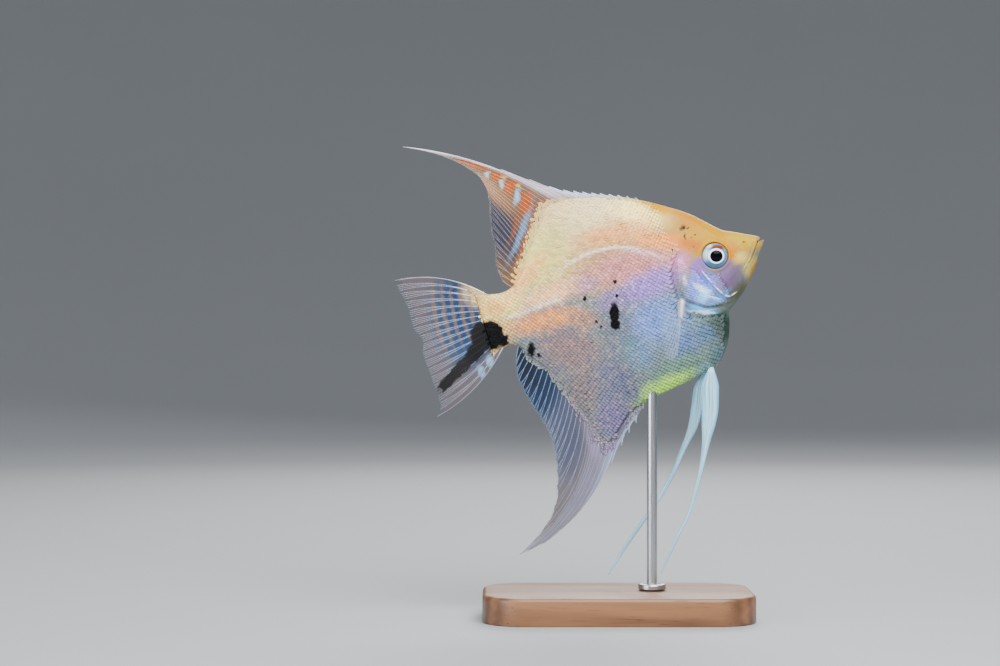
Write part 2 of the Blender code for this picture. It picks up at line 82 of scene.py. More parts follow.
def make_sweep():
    """A floor profile turned all round the stand, from the middle out and up the wall."""
    bpy.ops.mesh.primitive_circle_add(vertices=96, radius=sweep_floor_radius, fill_type="NGON")
    sweep = bpy.context.object
    sweep.name = "studio_floor"
    bpy.ops.object.mode_set(mode="EDIT")
    bpy.ops.mesh.select_mode(type="EDGE")
    bpy.ops.mesh.select_all(action="DESELECT")
    bpy.ops.mesh.select_non_manifold(extend=False)
    radius, height = sweep_floor_radius, 0.0
    turns = [math.radians(90.0 * (i + 1) / bend_steps) for i in range(bend_steps)]
    profile = [(sweep_floor_radius + sweep_bend_radius * math.sin(t), sweep_bend_radius * (1 - math.cos(t)))
               for t in turns]
    profile.append((profile[-1][0], sweep_wall_height))
    for next_radius, next_height in profile:
        bpy.ops.mesh.extrude_edges_move(TRANSFORM_OT_translate={"value": (0.0, 0.0, next_height - height)})
        bpy.ops.transform.resize(value=(next_radius / radius, next_radius / radius, 1.0),
                                 center_override=(0.0, 0.0, next_height))
        radius, height = next_radius, next_height
    bpy.ops.object.mode_set(mode="OBJECT")
    bpy.ops.object.shade_smooth()
    return sweep


def new_finish(name):
    """A new material, its node tree and its Principled shader."""
    finish = bpy.data.materials.new(name)
    finish.use_nodes = True
    return finish, finish.node_tree, finish.node_tree.nodes["Principled BSDF"]


def feed(tree, made, sources):
    """Fills a node's inputs, each with a plain value or with another node's output."""
    for key, value in sources.items():
        if isinstance(value, bpy.types.NodeSocket):
            tree.links.new(value, made.inputs[key])
        else:
            made.inputs[key].default_value = value


def node(tree, kind, sources=None, **settings):
    """Adds a node with its settings and its inputs filled."""
    made = tree.nodes.new("ShaderNode" + kind)
    for name, value in settings.items():
        setattr(made, name, value)
    feed(tree, made, sources or {})
    return made


def own_places(tree):
    """Where each point of a piece lies, in the piece's own axes."""
    return node(tree, "TexCoord").outputs["Object"]


def ramp(tree, value, first, last, low=0.0, high=1.0):
    """A colour that runs from first to last as a value goes from low to high."""
    made = node(tree, "ValToRGB", {"Fac": value})
    for stop, colour, position in zip(made.color_ramp.elements, (first, last), (low, high)):
        stop.color = paint(*colour)
        stop.position = position
    return made.outputs["Color"]


def paint(red, green, blue):
    """A colour from a paint chart, 0 to 255 for each part, as the shader's light values."""
    parts = [value / 255.0 for value in (red, green, blue)]
    return tuple(p / 12.92 if p <= 0.04045 else ((p + 0.055) / 1.055) ** 2.4 for p in parts) + (1.0,)


sweep = make_sweep()
matt_paint, tree, shader = new_finish("matt studio paint")
mottle = node(tree, "TexNoise", {"Vector": own_places(tree), "Scale": 3.0}).outputs["Fac"]
feed(tree, shader, {"Base Color": ramp(tree, mottle, (148, 151, 156), (155, 158, 162))})
shader.inputs["Roughness"].default_value = 0.8
sweep.data.materials.append(matt_paint)


def lamp(name, place_in_metres, size, watts, tint):
    """A square soft lamp turned to face the fish."""
    bpy.ops.object.light_add(type="AREA", location=place_in_metres)
    light = bpy.context.object
    light.name = name
    light.data.size = size
    light.data.energy = watts
    light.data.color = tint
    towards = fish_middle - light.location
    light.rotation_euler = towards.to_track_quat("-Z", "Y").to_euler()
    light.visible_camera = False


lamp("lamp_above", (0.14, -0.46, 0.62), 0.60, 15.6, (1.0, 0.98, 0.95))
lamp("lamp_at_side", (-0.72, -0.55, 0.30), 0.50, 7.0, (0.93, 0.96, 1.0))
lamp("lamp_behind", (0.10, 0.62, 0.55), 0.50, 7.8, (1.0, 0.98, 0.95))

world = bpy.data.worlds.new("studio air")
world.use_nodes = True
world.node_tree.nodes["Background"].inputs["Color"].default_value = paint(205, 212, 222)
world.node_tree.nodes["Background"].inputs["Strength"].default_value = 0.452
bpy.context.scene.world = world

# ---- The skin: one piece from lips to tail-fin base ----
# Naked wet skin on the face and a scaled hide behind, over a body as thin as a saucer.
# Its sections run along the fish; gill cover, cheek, lips and eye sockets are pressed into it.
nose_up = math.radians(17.0)
snout = (41.2, 109.6)
hide_depth = 0.16
edge_half = 0.45
nose_end, tail_end = -0.8, 83.4

back_line = [(-0.8, -0.7), (0.2, 0.7), (0.9, 1.2), (2.5, 2.0), (7.6, 4.6), (9.5, 5.5), (12.6, 8.3),
             (17.3, 12.8), (22.3, 16.3), (30.0, 20.9), (35.0, 23.2), (40.4, 25.2), (46.4, 26.9),
             (50.5, 27.4), (54.5, 27.3), (56.7, 26.6), (58.2, 24.3), (61.1, 20.7), (66.2, 14.6),
             (70.2, 9.9), (72.6, 7.6), (76.0, 6.9), (80.5, 7.8), (83.4, 8.5)]
belly_line = [(-0.8, -1.3), (0.4, -2.8), (2.8, -6.3), (6.2, -10.3), (9.3, -13.6), (12.4, -15.9),
              (14.8, -17.8), (15.5, -20.7), (18.0, -26.6), (21.1, -30.3), (23.4, -31.7), (28.1, -32.5),
              (36.7, -34.0), (43.8, -35.0), (47.7, -36.5), (51.3, -38.3), (54.0, -41.4), (57.0, -43.8),
              (59.0, -43.4), (60.9, -41.0), (62.5, -36.1), (65.4, -27.9), (69.1, -19.6), (73.9, -13.0),
              (76.0, -9.0), (77.5, -8.2), (80.5, -8.4), (83.4, -8.6)]
half_width_line = [(-0.8, 0.9), (0.4, 1.6), (2.5, 2.2), (5.0, 2.9), (9.0, 4.1), (14.0, 5.3), (20.0, 6.3),
                   (26.0, 6.8), (33.0, 6.5), (42.0, 5.8), (52.0, 4.7), (62.0, 3.4), (70.0, 2.5),
                   (76.0, 2.0), (80.0, 1.35), (82.0, 0.62), (83.4, 0.2)]
widest_line = [(-0.8, -1.0), (3.0, -2.2), (9.0, -3.8), (14.0, -4.4), (20.0, -6.5), (28.0, -9.0),
               (38.0, -10.0), (50.0, -8.0), (60.0, -5.0), (70.0, -1.2), (80.5, -0.3), (83.4, 0.0)]
back_keel_line = [(-0.8, 1.0), (12.0, 1.1), (22.0, 1.35), (35.0, 1.6), (56.0, 1.8), (70.0, 1.3), (83.4, 1.0)]
belly_keel_line = [(-0.8, 1.0), (22.0, 1.05), (36.0, 1.15), (46.0, 1.5), (54.0, 2.0), (63.0, 2.0),
                   (72.0, 1.3), (83.4, 1.0)]

eye_at = (14.3, -0.9)
eye_radius = 3.85
nostril_at = (5.0, 0.3)
cover_edge = [(22.4, 2.2), (25.1, 1.3), (26.2, -3.0), (26.8, -6.6), (26.5, -9.3), (24.0, -12.2),
              (19.8, -14.4), (14.9, -15.0), (11.6, -14.4)]
gill_skin_edge = [(26.6, -8.2), (27.0, -11.0), (25.2, -13.9), (23.6, -15.4), (20.8, -17.0), (16.7, -17.3),
                  (12.7, -16.3)]
cheek_ridge = [(20.0, -1.6), (19.1, -4.9), (17.4, -8.6), (15.4, -12.2), (13.5, -13.4), (11.3, -12.7)]
lip_fold = [(1.5, 0.1), (3.2, -2.4), (4.6, -4.3), (6.3, -5.9), (7.6, -7.1)]
gape_line = [(1.0, -0.5), (2.4, -2.4), (4.2, -4.6), (6.0, -6.5)]
jaw_fold = [(6.2, -6.2), (8.2, -10.0), (9.8, -14.0)]
side_line_front = [(27.2, 1.1), (32.8, 5.6), (36.7, 8.0), (43.0, 9.9), (48.5, 10.0), (54.9, 8.7), (59.5, 7.3)]
side_line_rear = [(58.1, -0.1), (63.7, -0.4), (69.5, -0.7), (77.7, -0.7)]
arm_line = [(26.8, -9.6), (28.2, -13.0), (29.4, -16.9)]


def smooth(points):
    """A curve through given points that never overshoots them, for one value or an array."""
    xs, ys = np.array(points, float).T
    slopes = np.diff(ys) / np.diff(xs)
    before, after = slopes[:-1], slopes[1:]
    total = np.where(before + after == 0.0, 1.0, before + after)
    inner = np.where(before * after > 0.0, 2.0 * before * after / total, 0.0)
    tangents = np.concatenate(([slopes[0]], inner, [slopes[-1]]))

    def value(x):
        x = np.clip(x, xs[0], xs[-1])
        i = np.clip(np.searchsorted(xs, x, side="right") - 1, 0, len(xs) - 2)
        width = xs[i + 1] - xs[i]
        t = (x - xs[i]) / width
        return (ys[i] * (1 + 2 * t) * (1 - t) ** 2 + ys[i + 1] * t * t * (3 - 2 * t)
                + width * t * (1 - t) * (tangents[i] * (1 - t) - tangents[i + 1] * t))

    return value


back = smooth(back_line)
belly = smooth(belly_line)
half_width = smooth(half_width_line)
widest = smooth(widest_line)
back_keel = smooth(back_keel_line)
belly_keel = smooth(belly_keel_line)


def place(behind, out, height):
    """World positions, in metres, of points given in the fish's own frame."""
    x = snout[0] - behind * math.cos(nose_up) - height * math.sin(nose_up)
    z = snout[1] - behind * math.sin(nose_up) + height * math.cos(nose_up)
    return np.stack(np.broadcast_arrays(x, out, z), axis=-1) * mm


def step(value, low, high):
    """0 below low, 1 above high, and a smooth rise between."""
    t = np.clip((value - low) / (high - low), 0.0, 1.0)
    return t * t * (3.0 - 2.0 * t)


def ridge(distance, width):
    """1 on a line, falling off to nothing a couple of widths away."""
    return np.exp(-(distance / width) ** 2)


def bent(points, count=60):
    """Close-set points on a smooth curve through a few given ones."""
    run = np.concatenate(([0.0], np.cumsum(np.hypot(*np.diff(np.array(points, float), axis=0).T))))
    shares = np.linspace(0.0, run[-1], count)
    return np.stack([smooth(list(zip(run, [p[k] for p in points])))(shares) for k in (0, 1)], axis=-1)


def from_line(points, behind, height):
    """Distance to a curve, with its sign positive on the left, and how far along the nearest spot lies."""
    curve = bent(points)
    best = np.full(np.shape(behind), 1e9)
    sign = np.ones(np.shape(behind))
    share = np.zeros(np.shape(behind))
    count = len(curve) - 1
    for i, (start, end) in enumerate(zip(curve, curve[1:])):
        along = end - start
        t = np.clip(((behind - start[0]) * along[0] + (height - start[1]) * along[1]) / (along @ along), 0, 1)
        gap_b = behind - start[0] - along[0] * t
        gap_h = height - start[1] - along[1] * t
        distance = np.hypot(gap_b, gap_h)
        nearer = distance < best
        best = np.where(nearer, distance, best)
        sign = np.where(nearer, np.where(along[0] * gap_h - along[1] * gap_b >= 0.0, 1.0, -1.0), sign)
        share = np.where(nearer, (i + t) / count, share)
    return best * sign, share


def within(share, fade=0.08):
    """Fades a line's mark out at both of its ends."""
    return step(share, 0.0, fade) * (1.0 - step(share, 1.0 - fade, 1.0))


def from_spot(spot, behind, height):
    """Distance to one place on the fish, seen from the side."""
    return np.hypot(behind - spot[0], height - spot[1])


def relief(behind, height):
    """How far the skin stands out of the plain body form, from its hollows, folds and plates."""
    raised = np.zeros(np.shape(behind))
    # the gill cover: a plate that swells towards its rear edge, with a soft skin rim below it
    away, share = from_line(cover_edge, behind, height)
    ahead = -away
    plate = step(ahead, -0.12, 0.22) * (1.0 - 0.75 * step(ahead, 1.5, 9.0))
    slot = ridge(ahead + 0.45, 0.45)
    raised += within(share, 0.10) * (0.34 * plate * (ahead < 12.0) - 0.22 * slot)
    away, share = from_line(gill_skin_edge, behind, height)
    ahead = -away
    raised += within(share, 0.15) * (0.16 * step(ahead, -0.1, 0.2) * (1.0 - step(ahead, 1.2, 2.4))
                                     - 0.14 * ridge(ahead + 0.35, 0.4))
    # the cheek: a thin bony ridge with a hollow before it
    away, share = from_line(cheek_ridge, behind, height)
    raised += within(share) * (0.22 * ridge(away, 0.28) - 0.16 * ridge(away - 0.9, 0.7)
                               - 0.10 * ridge(away + 0.7, 0.45))
    # the mouth: a gape with rolled lips, the upper jaw's fold, and the fold behind the lower jaw
    away, share = from_line(gape_line, behind, height)
    end = 1.0 - step(share, 0.80, 1.0)
    raised += end * (0.30 * ridge(np.abs(away) - 0.42, 0.30) - 0.75 * ridge(away, 0.17))
    away, share = from_line(lip_fold, behind, height)
    raised += within(share, 0.15) * (0.20 * ridge(away + 0.30, 0.35) - 0.24 * ridge(away - 0.22, 0.20))
    away, share = from_line(jaw_fold, behind, height)
    raised += within(share, 0.25) * (-0.16 * ridge(away, 0.35) + 0.08 * ridge(away - 0.8, 0.5))
    # the nostril: a small pit with a raised rim
    r = from_spot(nostril_at, behind, height)
    raised += 0.14 * ridge(r - 0.62, 0.22) - 0.55 * ridge(r, 0.36)
    # the eye socket and the ring of skin round it, with a groove outside the ring
    r = from_spot(eye_at, behind, height)
    raised += -3.1 * (1.0 - step(r, 3.42, 3.98)) + 0.17 * ridge(r - 4.22, 0.34) - 0.07 * ridge(r - 5.1, 0.5)
    # the raised canal along the side, and the fleshy arm of the breast fin
    for line in (side_line_front, side_line_rear):
        away, share = from_line(line, behind, height)
        raised += 0.13 * within(share, 0.05) * ridge(away, 0.30)
    away, share = from_line(arm_line, behind, height)
    raised += within(share, 0.3) * (0.55 * ridge(away, 0.75) + 0.18 * ridge(away - 0.9, 0.3))
    return raised


def flank(behind, angle, depth=hide_depth, carved=True):
    """Distance out and height of the skin at a station, for an angle measured from the back."""
    level = widest(behind)
    lift = np.cos(angle)
    sine = np.abs(np.sin(angle))
    reach = np.where(lift >= 0.0, back(behind), belly(behind)) - level
    height = level + np.abs(lift) * reach
    keel = np.where(lift >= 0.0, back_keel(behind), belly_keel(behind))
    out = (half_width(behind) - edge_half) * sine ** keel + edge_half * np.sqrt(sine)
    out = np.maximum(out - depth * step(out, 0.0, 0.6), 0.0)
    if carved:
        out = np.maximum(out + relief(behind, height) * step(out, 0.1, 1.6), 0.04 * sine)
    return out, height


def piece_from(name, points, faces, finish):
    """A smooth-shaded object at the origin, made of points in metres and their faces."""
    mesh = bpy.data.meshes.new(name)
    mesh.from_pydata(np.asarray(points).tolist(), [], faces)
    mesh.update()
    mesh.shade_smooth()
    mesh.materials.append(finish)
    made = bpy.data.objects.new(name, mesh)
    bpy.context.scene.collection.objects.link(made)
    return made


def ring_faces(rings, around):
    """Quads between rings of points that are numbered one ring after another."""
    faces = []
    for first in range(0, (rings - 1) * around, around):
        for j in range(around):
            n = (j + 1) % around
            faces.append((first + j, first + n, first + around + n, first + around + j))
    return faces


def face_outwards(piece):
    """Makes every face of a closed piece look outwards."""
    bm = bmesh.new()
    bm.from_mesh(piece.data)
    bmesh.ops.recalc_face_normals(bm, faces=bm.faces)
    if bm.calc_volume(signed=True) < 0.0:
        bmesh.ops.reverse_faces(bm, faces=bm.faces)
    bm.to_mesh(piece.data)
    bm.free()


def skin_stations():
    """Stations along the body: close together over the face, wider apart behind it."""
    spacing = smooth([(nose_end, 0.12), (1.5, 0.16), (8.0, 0.24), (20.0, 0.26), (28.0, 0.34), (40.0, 0.62),
                      (72.0, 0.62), (tail_end, 0.5)])
    stations = [nose_end]
    while stations[-1] < tail_end - 0.3:
        stations.append(stations[-1] + float(spacing(stations[-1])))
    return np.array(stations + [tail_end])


def round_angles(count):
    """Evenly spaced angles once round a section."""
    return 2.0 * math.pi * np.arange(count) / count


def make_skin(finish):
    """The whole hide as one closed skin, with its lips parted."""
    stations = skin_stations()
    around = 344
    behind, angle = np.meshgrid(stations, round_angles(around), indexing="ij")
    out, height = flank(behind, angle)
    out = out * np.where(np.sin(angle) >= 0.0, 1.0, -1.0)
    # the open lips: points in the wedge between them are drawn back to the corner of the gape
    gape_back = 1.15
    wedge = 0.34 * np.clip((gape_back - behind) / 1.5, 0.0, 1.0)
    middle = -0.42 + 0.10 * (gape_back - behind)
    inside = 1.0 - step(np.abs(height - middle), wedge * 0.55, wedge * 1.1 + 1e-6)
    inside = np.where(behind < gape_back, inside, 0.0)
    behind = behind + (gape_back - behind) * inside
    out = out * (1.0 - 0.85 * inside)
    points = place(behind, out, height).reshape(-1, 3)
    faces = ring_faces(len(stations), around)
    lip_tip_and_tail = place(np.array([-1.0, tail_end + 0.2]), 0.0, np.array([-1.05, 0.0]))
    points = np.concatenate((points, lip_tip_and_tail))
    first, last = len(points) - 2, len(points) - 1
    rear = (len(stations) - 1) * around
    for j in range(around):
        n = (j + 1) % around
        faces.append((first, n, j))
        faces.append((last, rear + j, rear + n))
    skin = piece_from("fish_skin", points, faces, finish)
    face_outwards(skin)
    return skin


def vector(tree, operation, first, second=None, third=None):
    """A sum done on vectors or colours."""
    parts = {k: part for k, part in enumerate((first, second, third)) if part is not None}
    return node(tree, "VectorMath", parts, operation=operation).outputs[0]


def scaled(tree, first, amount):
    """A vector or colour made larger or smaller by an amount."""
    return node(tree, "VectorMath", {0: first, "Scale": amount}, operation="SCALE").outputs[0]


def sum_of(tree, operation, first, second=0.0, held=False):
    """A sum done on plain numbers, held between 0 and 1 if asked."""
    return node(tree, "Math", {0: first, 1: second}, operation=operation, use_clamp=held).outputs[0]


def ranged(tree, value, to_low, to_high, low=0.0, high=1.0, way="LINEAR"):
    """A value carried from the range low to high over to another range, and held inside it."""
    return node(tree, "MapRange", {"Value": value, "From Min": low, "From Max": high, "To Min": to_low,
                                   "To Max": to_high}, interpolation_type=way).outputs["Result"]


def stretched(tree, where, scale, turn=(0.0, 0.0, 0.0)):
    """Coordinates scaled along each axis, for a pattern with a grain."""
    return node(tree, "Mapping", {"Vector": where, "Scale": scale, "Rotation": turn}).outputs[0]


def fish_coordinates(tree):
    """Distance behind the snout and height above the long axis, in millimetres, as a vector."""
    start = vector(tree, "SUBTRACT", own_places(tree), (snout[0] * mm, 0.0, snout[1] * mm))
    along = (-math.cos(nose_up) / mm, 0.0, -math.sin(nose_up) / mm)
    upward = (-math.sin(nose_up) / mm, 0.0, math.cos(nose_up) / mm)
    behind, height = [node(tree, "VectorMath", {0: start, 1: way}, operation="DOT_PRODUCT").outputs["Value"]
                      for way in (along, upward)]
    return node(tree, "CombineXYZ", {"X": behind, "Y": height}).outputs[0]


def wandering(tree, where, scale, amount):
    """The same coordinates, pushed about by soft noise so that no edge is a drawn line."""
    noise = node(tree, "TexNoise", {"Vector": where, "Scale": scale, "Detail": 3.0})
    push = scaled(tree, vector(tree, "SUBTRACT", noise.outputs["Color"], (0.5, 0.5, 0.5)), amount)
    return vector(tree, "ADD", where, vector(tree, "MULTIPLY", push, (1.0, 1.0, 0.0)))


def mixed(tree, share, under, over, blend="MIX"):
    """One colour laid over another by a share that is a number or a node's output."""
    return node(tree, "Mix", {0: share, 6: under, 7: over}, data_type="RGBA", blend_type=blend).outputs[2]


def oval(tree, where, centre, size, turn=0.0, soft=0.6, strength=1.0):
    """Strength inside an oval, fading to 0 over the soft share of its radius."""
    local = node(tree, "Mapping", {"Vector": where, "Location": (*centre, 0.0),
                                   "Rotation": (0.0, 0.0, math.radians(turn)),
                                   "Scale": (*size, 1.0)}, vector_type="TEXTURE")
    away = node(tree, "VectorMath", {0: local.outputs[0]}, operation="LENGTH").outputs["Value"]
    return ranged(tree, away, 0.0, strength, 1.0, 1.0 - soft, "SMOOTHSTEP")


def airbrushed(tree, where, ground, ovals):
    """Colour ovals laid one after another over a ground colour.

    Each is (centre behind, centre height, half length, half height, turn, softness, colour, strength).
    Every eighth oval waits for the ones before it, so few need to be held at once.
    """
    colour = ground
    for number, (behind, height, long, high, turn, soft, tint, strength) in enumerate(ovals):
        if number % 8 == 7:
            where = vector(tree, "MULTIPLY_ADD", colour, (0.0, 0.0, 0.0), where)
        share = oval(tree, where, (behind, height), (long, high), turn, soft, strength)
        colour = mixed(tree, share, colour, paint(*tint))
    return colour


def colour_group(name, outputs):
    """An empty node group whose outputs are colours, and the node that gathers them."""
    group = bpy.data.node_groups.new(name, "ShaderNodeTree")
    for output in outputs:
        group.interface.new_socket(output, in_out="OUTPUT", socket_type="NodeSocketColor")
    return group, group.nodes.new("NodeGroupOutput")


def spotted(tree, where, spots):
    """White spots on black; each is (behind, height, half length, half height, turn, softness)."""
    marks = (0.0, 0.0, 0.0, 1.0)
    for behind, height, long, high, turn, soft in spots:
        share = oval(tree, where, (behind, height), (long, high), turn, soft)
        marks = mixed(tree, share, marks, (1.0, 1.0, 1.0, 1.0))
    return marks


# the airbrushed hide: cream back, gold head, rose and lilac flank, blue breast, lime belly edge
hide_ground = paint(94, 111, 107)
hide_ovals = [
    # the widest fields: gold over the front, cream behind, cream at the tail, grey under the rear
    (38, 9, 44, 17, 8, 0.6, (171, 134, 72), 1.0),
    (66, 20, 26, 20, 0, 0.5, (206, 172, 108), 1.0),
    (86, 0, 16, 15, 0, 0.5, (197, 165, 100), 1.0),
    (66, -30, 26, 24, 0, 0.5, (97, 104, 104), 1.0),
    # the cream of the back and nape
    (46, 21, 27, 12, -4, 0.9, (210, 187, 129), 1.0),
    (31, 17.5, 13, 6.5, 28, 0.7, (236, 210, 120), 1.0),
    (62, 13, 15, 12, -48, 0.9, (210, 195, 98), 1.0),
    (77, 3, 14, 7, 0, 0.8, (223, 198, 107), 1.0),
    # the golden head
    (12, 6, 17, 13, 38, 0.65, (186, 138, 0), 1.0),
    (25, 17.5, 9, 3.4, 35, 0.8, (196, 142, 0), 1.0),
    (4, 1.5, 8, 5, 25, 0.8, (188, 154, 4), 0.9),
    (18, 11.5, 7, 4.0, 32, 0.9, (186, 122, 0), 0.9),
    # orange over the shoulder, then rose, lilac and blue down the flank
    (40, 13.5, 17, 4.8, 6, 0.8, (212, 143, 68), 1.0),
    (25, 6.5, 9, 4.2, 22, 0.8, (222, 133, 25), 1.0),
    (38, 3.5, 20, 7.5, 4, 0.7, (180, 112, 107), 1.0),
    (35, -3.5, 17, 6.5, -6, 0.8, (130, 100, 176), 1.0),
    (24, 0.5, 5, 4, 0, 0.9, (193, 120, 175), 0.8),
    (36, -13.5, 15, 9, -12, 0.8, (88, 116, 180), 1.0),
    (30, -22, 10, 8, -20, 1.0, (66, 96, 146), 0.9),
    (48, -12, 8, 11, 0, 0.8, (80, 88, 99), 0.9),
    # orange towards the tail stem, and the dusky violet of the rear flank
    (66, -4.5, 15, 5.0, 4, 0.7, (203, 128, 54), 1.0),
    (56, -7.5, 7, 4, 20, 0.8, (143, 104, 75), 0.9),
    (62, -14, 14, 9, 30, 0.7, (110, 88, 85), 1.0),
    (60, -25, 8, 12, 14, 0.8, (105, 93, 90), 1.0),
    (52, -27, 9, 12, 8, 0.8, (79, 85, 107), 1.0),
    (56, -37, 7, 9, 10, 0.8, (90, 82, 118), 1.0),
    # the teal belly and its lime edge
    (44, -21, 5, 9, -20, 0.9, (65, 110, 118), 0.7),
    (33, -28.5, 14, 4.5, -8, 0.8, (84, 119, 100), 0.9),
    (38, -32.8, 14, 4.2, -6, 0.8, (159, 219, 70), 1.0),
    (27, -31.0, 5, 2.6, -20, 0.8, (104, 149, 149), 0.8),
    # smaller fields laid over the ones above, from the shoulder back and down
    (30, 8.8, 8.5, 3.2, 20, 0.8, (221, 134, 27), 0.9),
    (20, 4.2, 5, 2.8, 32, 0.8, (190, 104, 10), 0.9),
    (62, 2.6, 13, 4.2, -5, 0.8, (243, 183, 126), 0.9),
    (68, 9.5, 13, 4.5, -30, 0.9, (232, 158, 70), 0.75),
    (79, 3.5, 6, 3.4, 0, 0.9, (236, 168, 76), 0.8),
    (52, 2.0, 6.5, 4, 0, 0.8, (168, 123, 139), 0.9),
    (46, -4.5, 7, 5, 0, 0.8, (117, 97, 141), 0.9),
    (42, -22, 6.5, 6, -10, 1.0, (84, 112, 150), 0.8),
    (50, -31, 6, 4, 30, 0.8, (77, 85, 104), 0.9),
    (31, -16.5, 7, 5, -10, 1.0, (92, 130, 176), 0.8),
    # the breast, dark green under the throat
    (18, -21, 6.5, 8.5, -30, 0.7, (42, 63, 55), 1.0),
    (23.5, -21, 4.0, 6, -20, 0.8, (60, 95, 124), 0.9),
    (21.5, -28, 4.5, 4, -40, 0.8, (47, 87, 94), 0.8),
    # the plum cheek, yellow jaws and bright blue gill cover
    (12.5, -8.5, 10.0, 7.2, -34, 1.0, (102, 82, 116), 1.0),
    (10.5, -12.5, 5.5, 3.0, -40, 0.8, (80, 85, 68), 1.0),
    (5.2, -6.4, 3.2, 4.2, 30, 0.7, (181, 167, 89), 0.9),
    (4.8, -9.4, 6.5, 2.0, -50, 0.6, (163, 121, 31), 1.0),
    (20.3, -8.4, 7.2, 6.4, -38, 0.7, (99, 119, 220), 1.0),
    (20.5, -10.6, 4.6, 2.6, -30, 0.8, (120, 195, 243), 1.0),
    (19.4, -2.6, 4.6, 2.6, -30, 0.7, (133, 101, 179), 1.0),
    (22.5, -14.6, 6.5, 1.5, 22, 0.7, (78, 160, 211), 1.0),
    (16.5, -15.9, 4.5, 1.2, 4, 0.7, (83, 93, 89), 0.9),
    (16.5, -12.6, 5, 2.0, -22, 0.8, (75, 138, 207), 0.9),
    (7.5, -3.6, 3.6, 2.2, -20, 0.8, (213, 184, 89), 0.9),
    (14.0, -6.5, 7.5, 3.0, -30, 1.0, (124, 98, 150), 0.7),
    (9.2, -1.3, 1.9, 4.2, 12, 0.8, (192, 124, 0), 1.0),
    (-0.2, -0.4, 1.7, 1.9, 0, 0.7, (130, 103, 73), 0.9),
]
# small scattered tints that break up the big fields: (colour, how fine, how rare)
fleck_tints = [((232, 150, 84), 0.34, 0.58), ((222, 214, 250), 0.52, 0.60), ((176, 120, 124), 0.9, 0.64)]
# the pale line along the cheek's bony ridge, in four strokes
ridge_strokes = [(18.5, -5.9, 3.2, 0.30, 68, 0.7, (232, 226, 248), 0.75),
                 (16.3, -10.4, 2.4, 0.30, 59, 0.7, (240, 238, 252), 0.9),
                 (14.3, -12.9, 1.3, 0.32, 29, 0.7, (244, 246, 255), 0.9),
                 (12.1, -12.9, 1.5, 0.30, -18, 0.7, (232, 240, 250), 0.8)]
# the hide's colour carried out over the fin bases
base_tints = [(69.3, -29.5, 21, 3.6, 60, 0.6, (118, 104, 124), 0.9),
              (57, -46, 7, 3.6, -8, 0.6, (122, 98, 140), 0.9),
              (88, 0, 5.2, 12, 0, 0.4, (214, 196, 160), 0.8)]
# painted highlights: bluish-white glints on the gill cover and its skin rim
painted_glints = [(21.1, -8.7, 3.8, 1.3, 50, 0.9, (236, 244, 255), 0.7),
          (18.4, -12.2, 2.6, 0.7, 36, 0.9, (226, 238, 255), 0.55),
          (24.8, -5.0, 1.0, 2.4, 12, 0.9, (240, 240, 255), 0.5),
          (22.6, -15.2, 5.5, 0.7, 22, 0.6, (236, 250, 255), 0.5)]
# ink-black spots on the flank, the tail stem and the forehead
ink_spots = [(46.8, -8.6, 1.7, 4.6, 14, 0.4), (47.6, -11.6, 1.6, 1.8, 0, 0.4),
             (44.1, 0.2, 0.75, 0.6, 0, 0.5), (44.6, -3.6, 0.9, 0.6, 40, 0.6),
             (53.7, -1.7, 0.85, 1.0, 20, 0.6), (52.4, -9.1, 0.6, 0.9, 0, 0.6),
             (51.6, -11.0, 0.4, 0.5, 0, 0.6), (72.6, -11.4, 1.5, 3.0, 14, 0.55),
             (70.9, -13.6, 0.8, 1.2, 0, 0.7), (82.6, -3.8, 4.4, 5.0, 0, 0.25),
             (79.4, -6.4, 1.7, 2.0, 30, 0.4), (19.3, 8.9, 0.45, 0.35, 0, 0.6),
             (21.0, 7.0, 0.35, 0.9, 10, 0.7), (19.1, 6.1, 0.4, 0.3, 0, 0.6),
             (19.4, 3.5, 0.34, 0.34, 0, 0.5), (25.6, 4.2, 0.36, 0.55, 0, 0.5),
             (17.9, 6.6, 0.3, 0.25, 0, 0.7), (20.6, 9.6, 1.6, 0.9, -20, 0.8)]
ink = (4, 4, 7)


def paint_hide():
    """The node group of the hide's colours, shared by the skin and its scales."""
    group, gathered = colour_group("hide markings", ["Colour", "Ink"])
    where = fish_coordinates(group)
    colour = airbrushed(group, wandering(group, where, 0.22, 3.2), hide_ground, hide_ovals)
    for tint, scale, level in fleck_tints:
        cloud = node(group, "TexNoise", {"Vector": where, "Scale": scale, "Detail": 2.5}).outputs["Fac"]
        rear_flank = oval(group, where, (56, 2), (30, 18), 12, 0.7)
        share = sum_of(group, "MULTIPLY", ranged(group, cloud, 0.0, 0.38, level, level + 0.16), rear_flank)
        colour = mixed(group, share, colour, paint(*tint))
    # the fin-base tints, then the painted highlights of the gill-cover glints
    colour = airbrushed(group, wandering(group, where, 1.0, 1.8), colour, base_tints + painted_glints)
    colour = airbrushed(group, wandering(group, where, 0.5, 0.3), colour, ridge_strokes)
    inked = spotted(group, wandering(group, where, 0.85, 1.7), ink_spots)
    feed(group, gathered, {"Colour": colour, "Ink": inked})
    return group


def used_group(tree, group):
    """A node that stands for a finished group in another tree."""
    made = tree.nodes.new("ShaderNodeGroup")
    made.node_tree = group
    return made.outputs


def one_part(tree, colour):
    """A colour's first part as a plain number."""
    return node(tree, "SeparateXYZ", {0: colour}).outputs["X"]


def bumped(tree, shader, height, strength, distance):
    """Turns a height pattern into small bumps on a shader; distance is in metres."""
    bump = node(tree, "Bump", {"Strength": strength, "Distance": distance, "Height": height})
    tree.links.new(bump.outputs["Normal"], shader.inputs["Normal"])


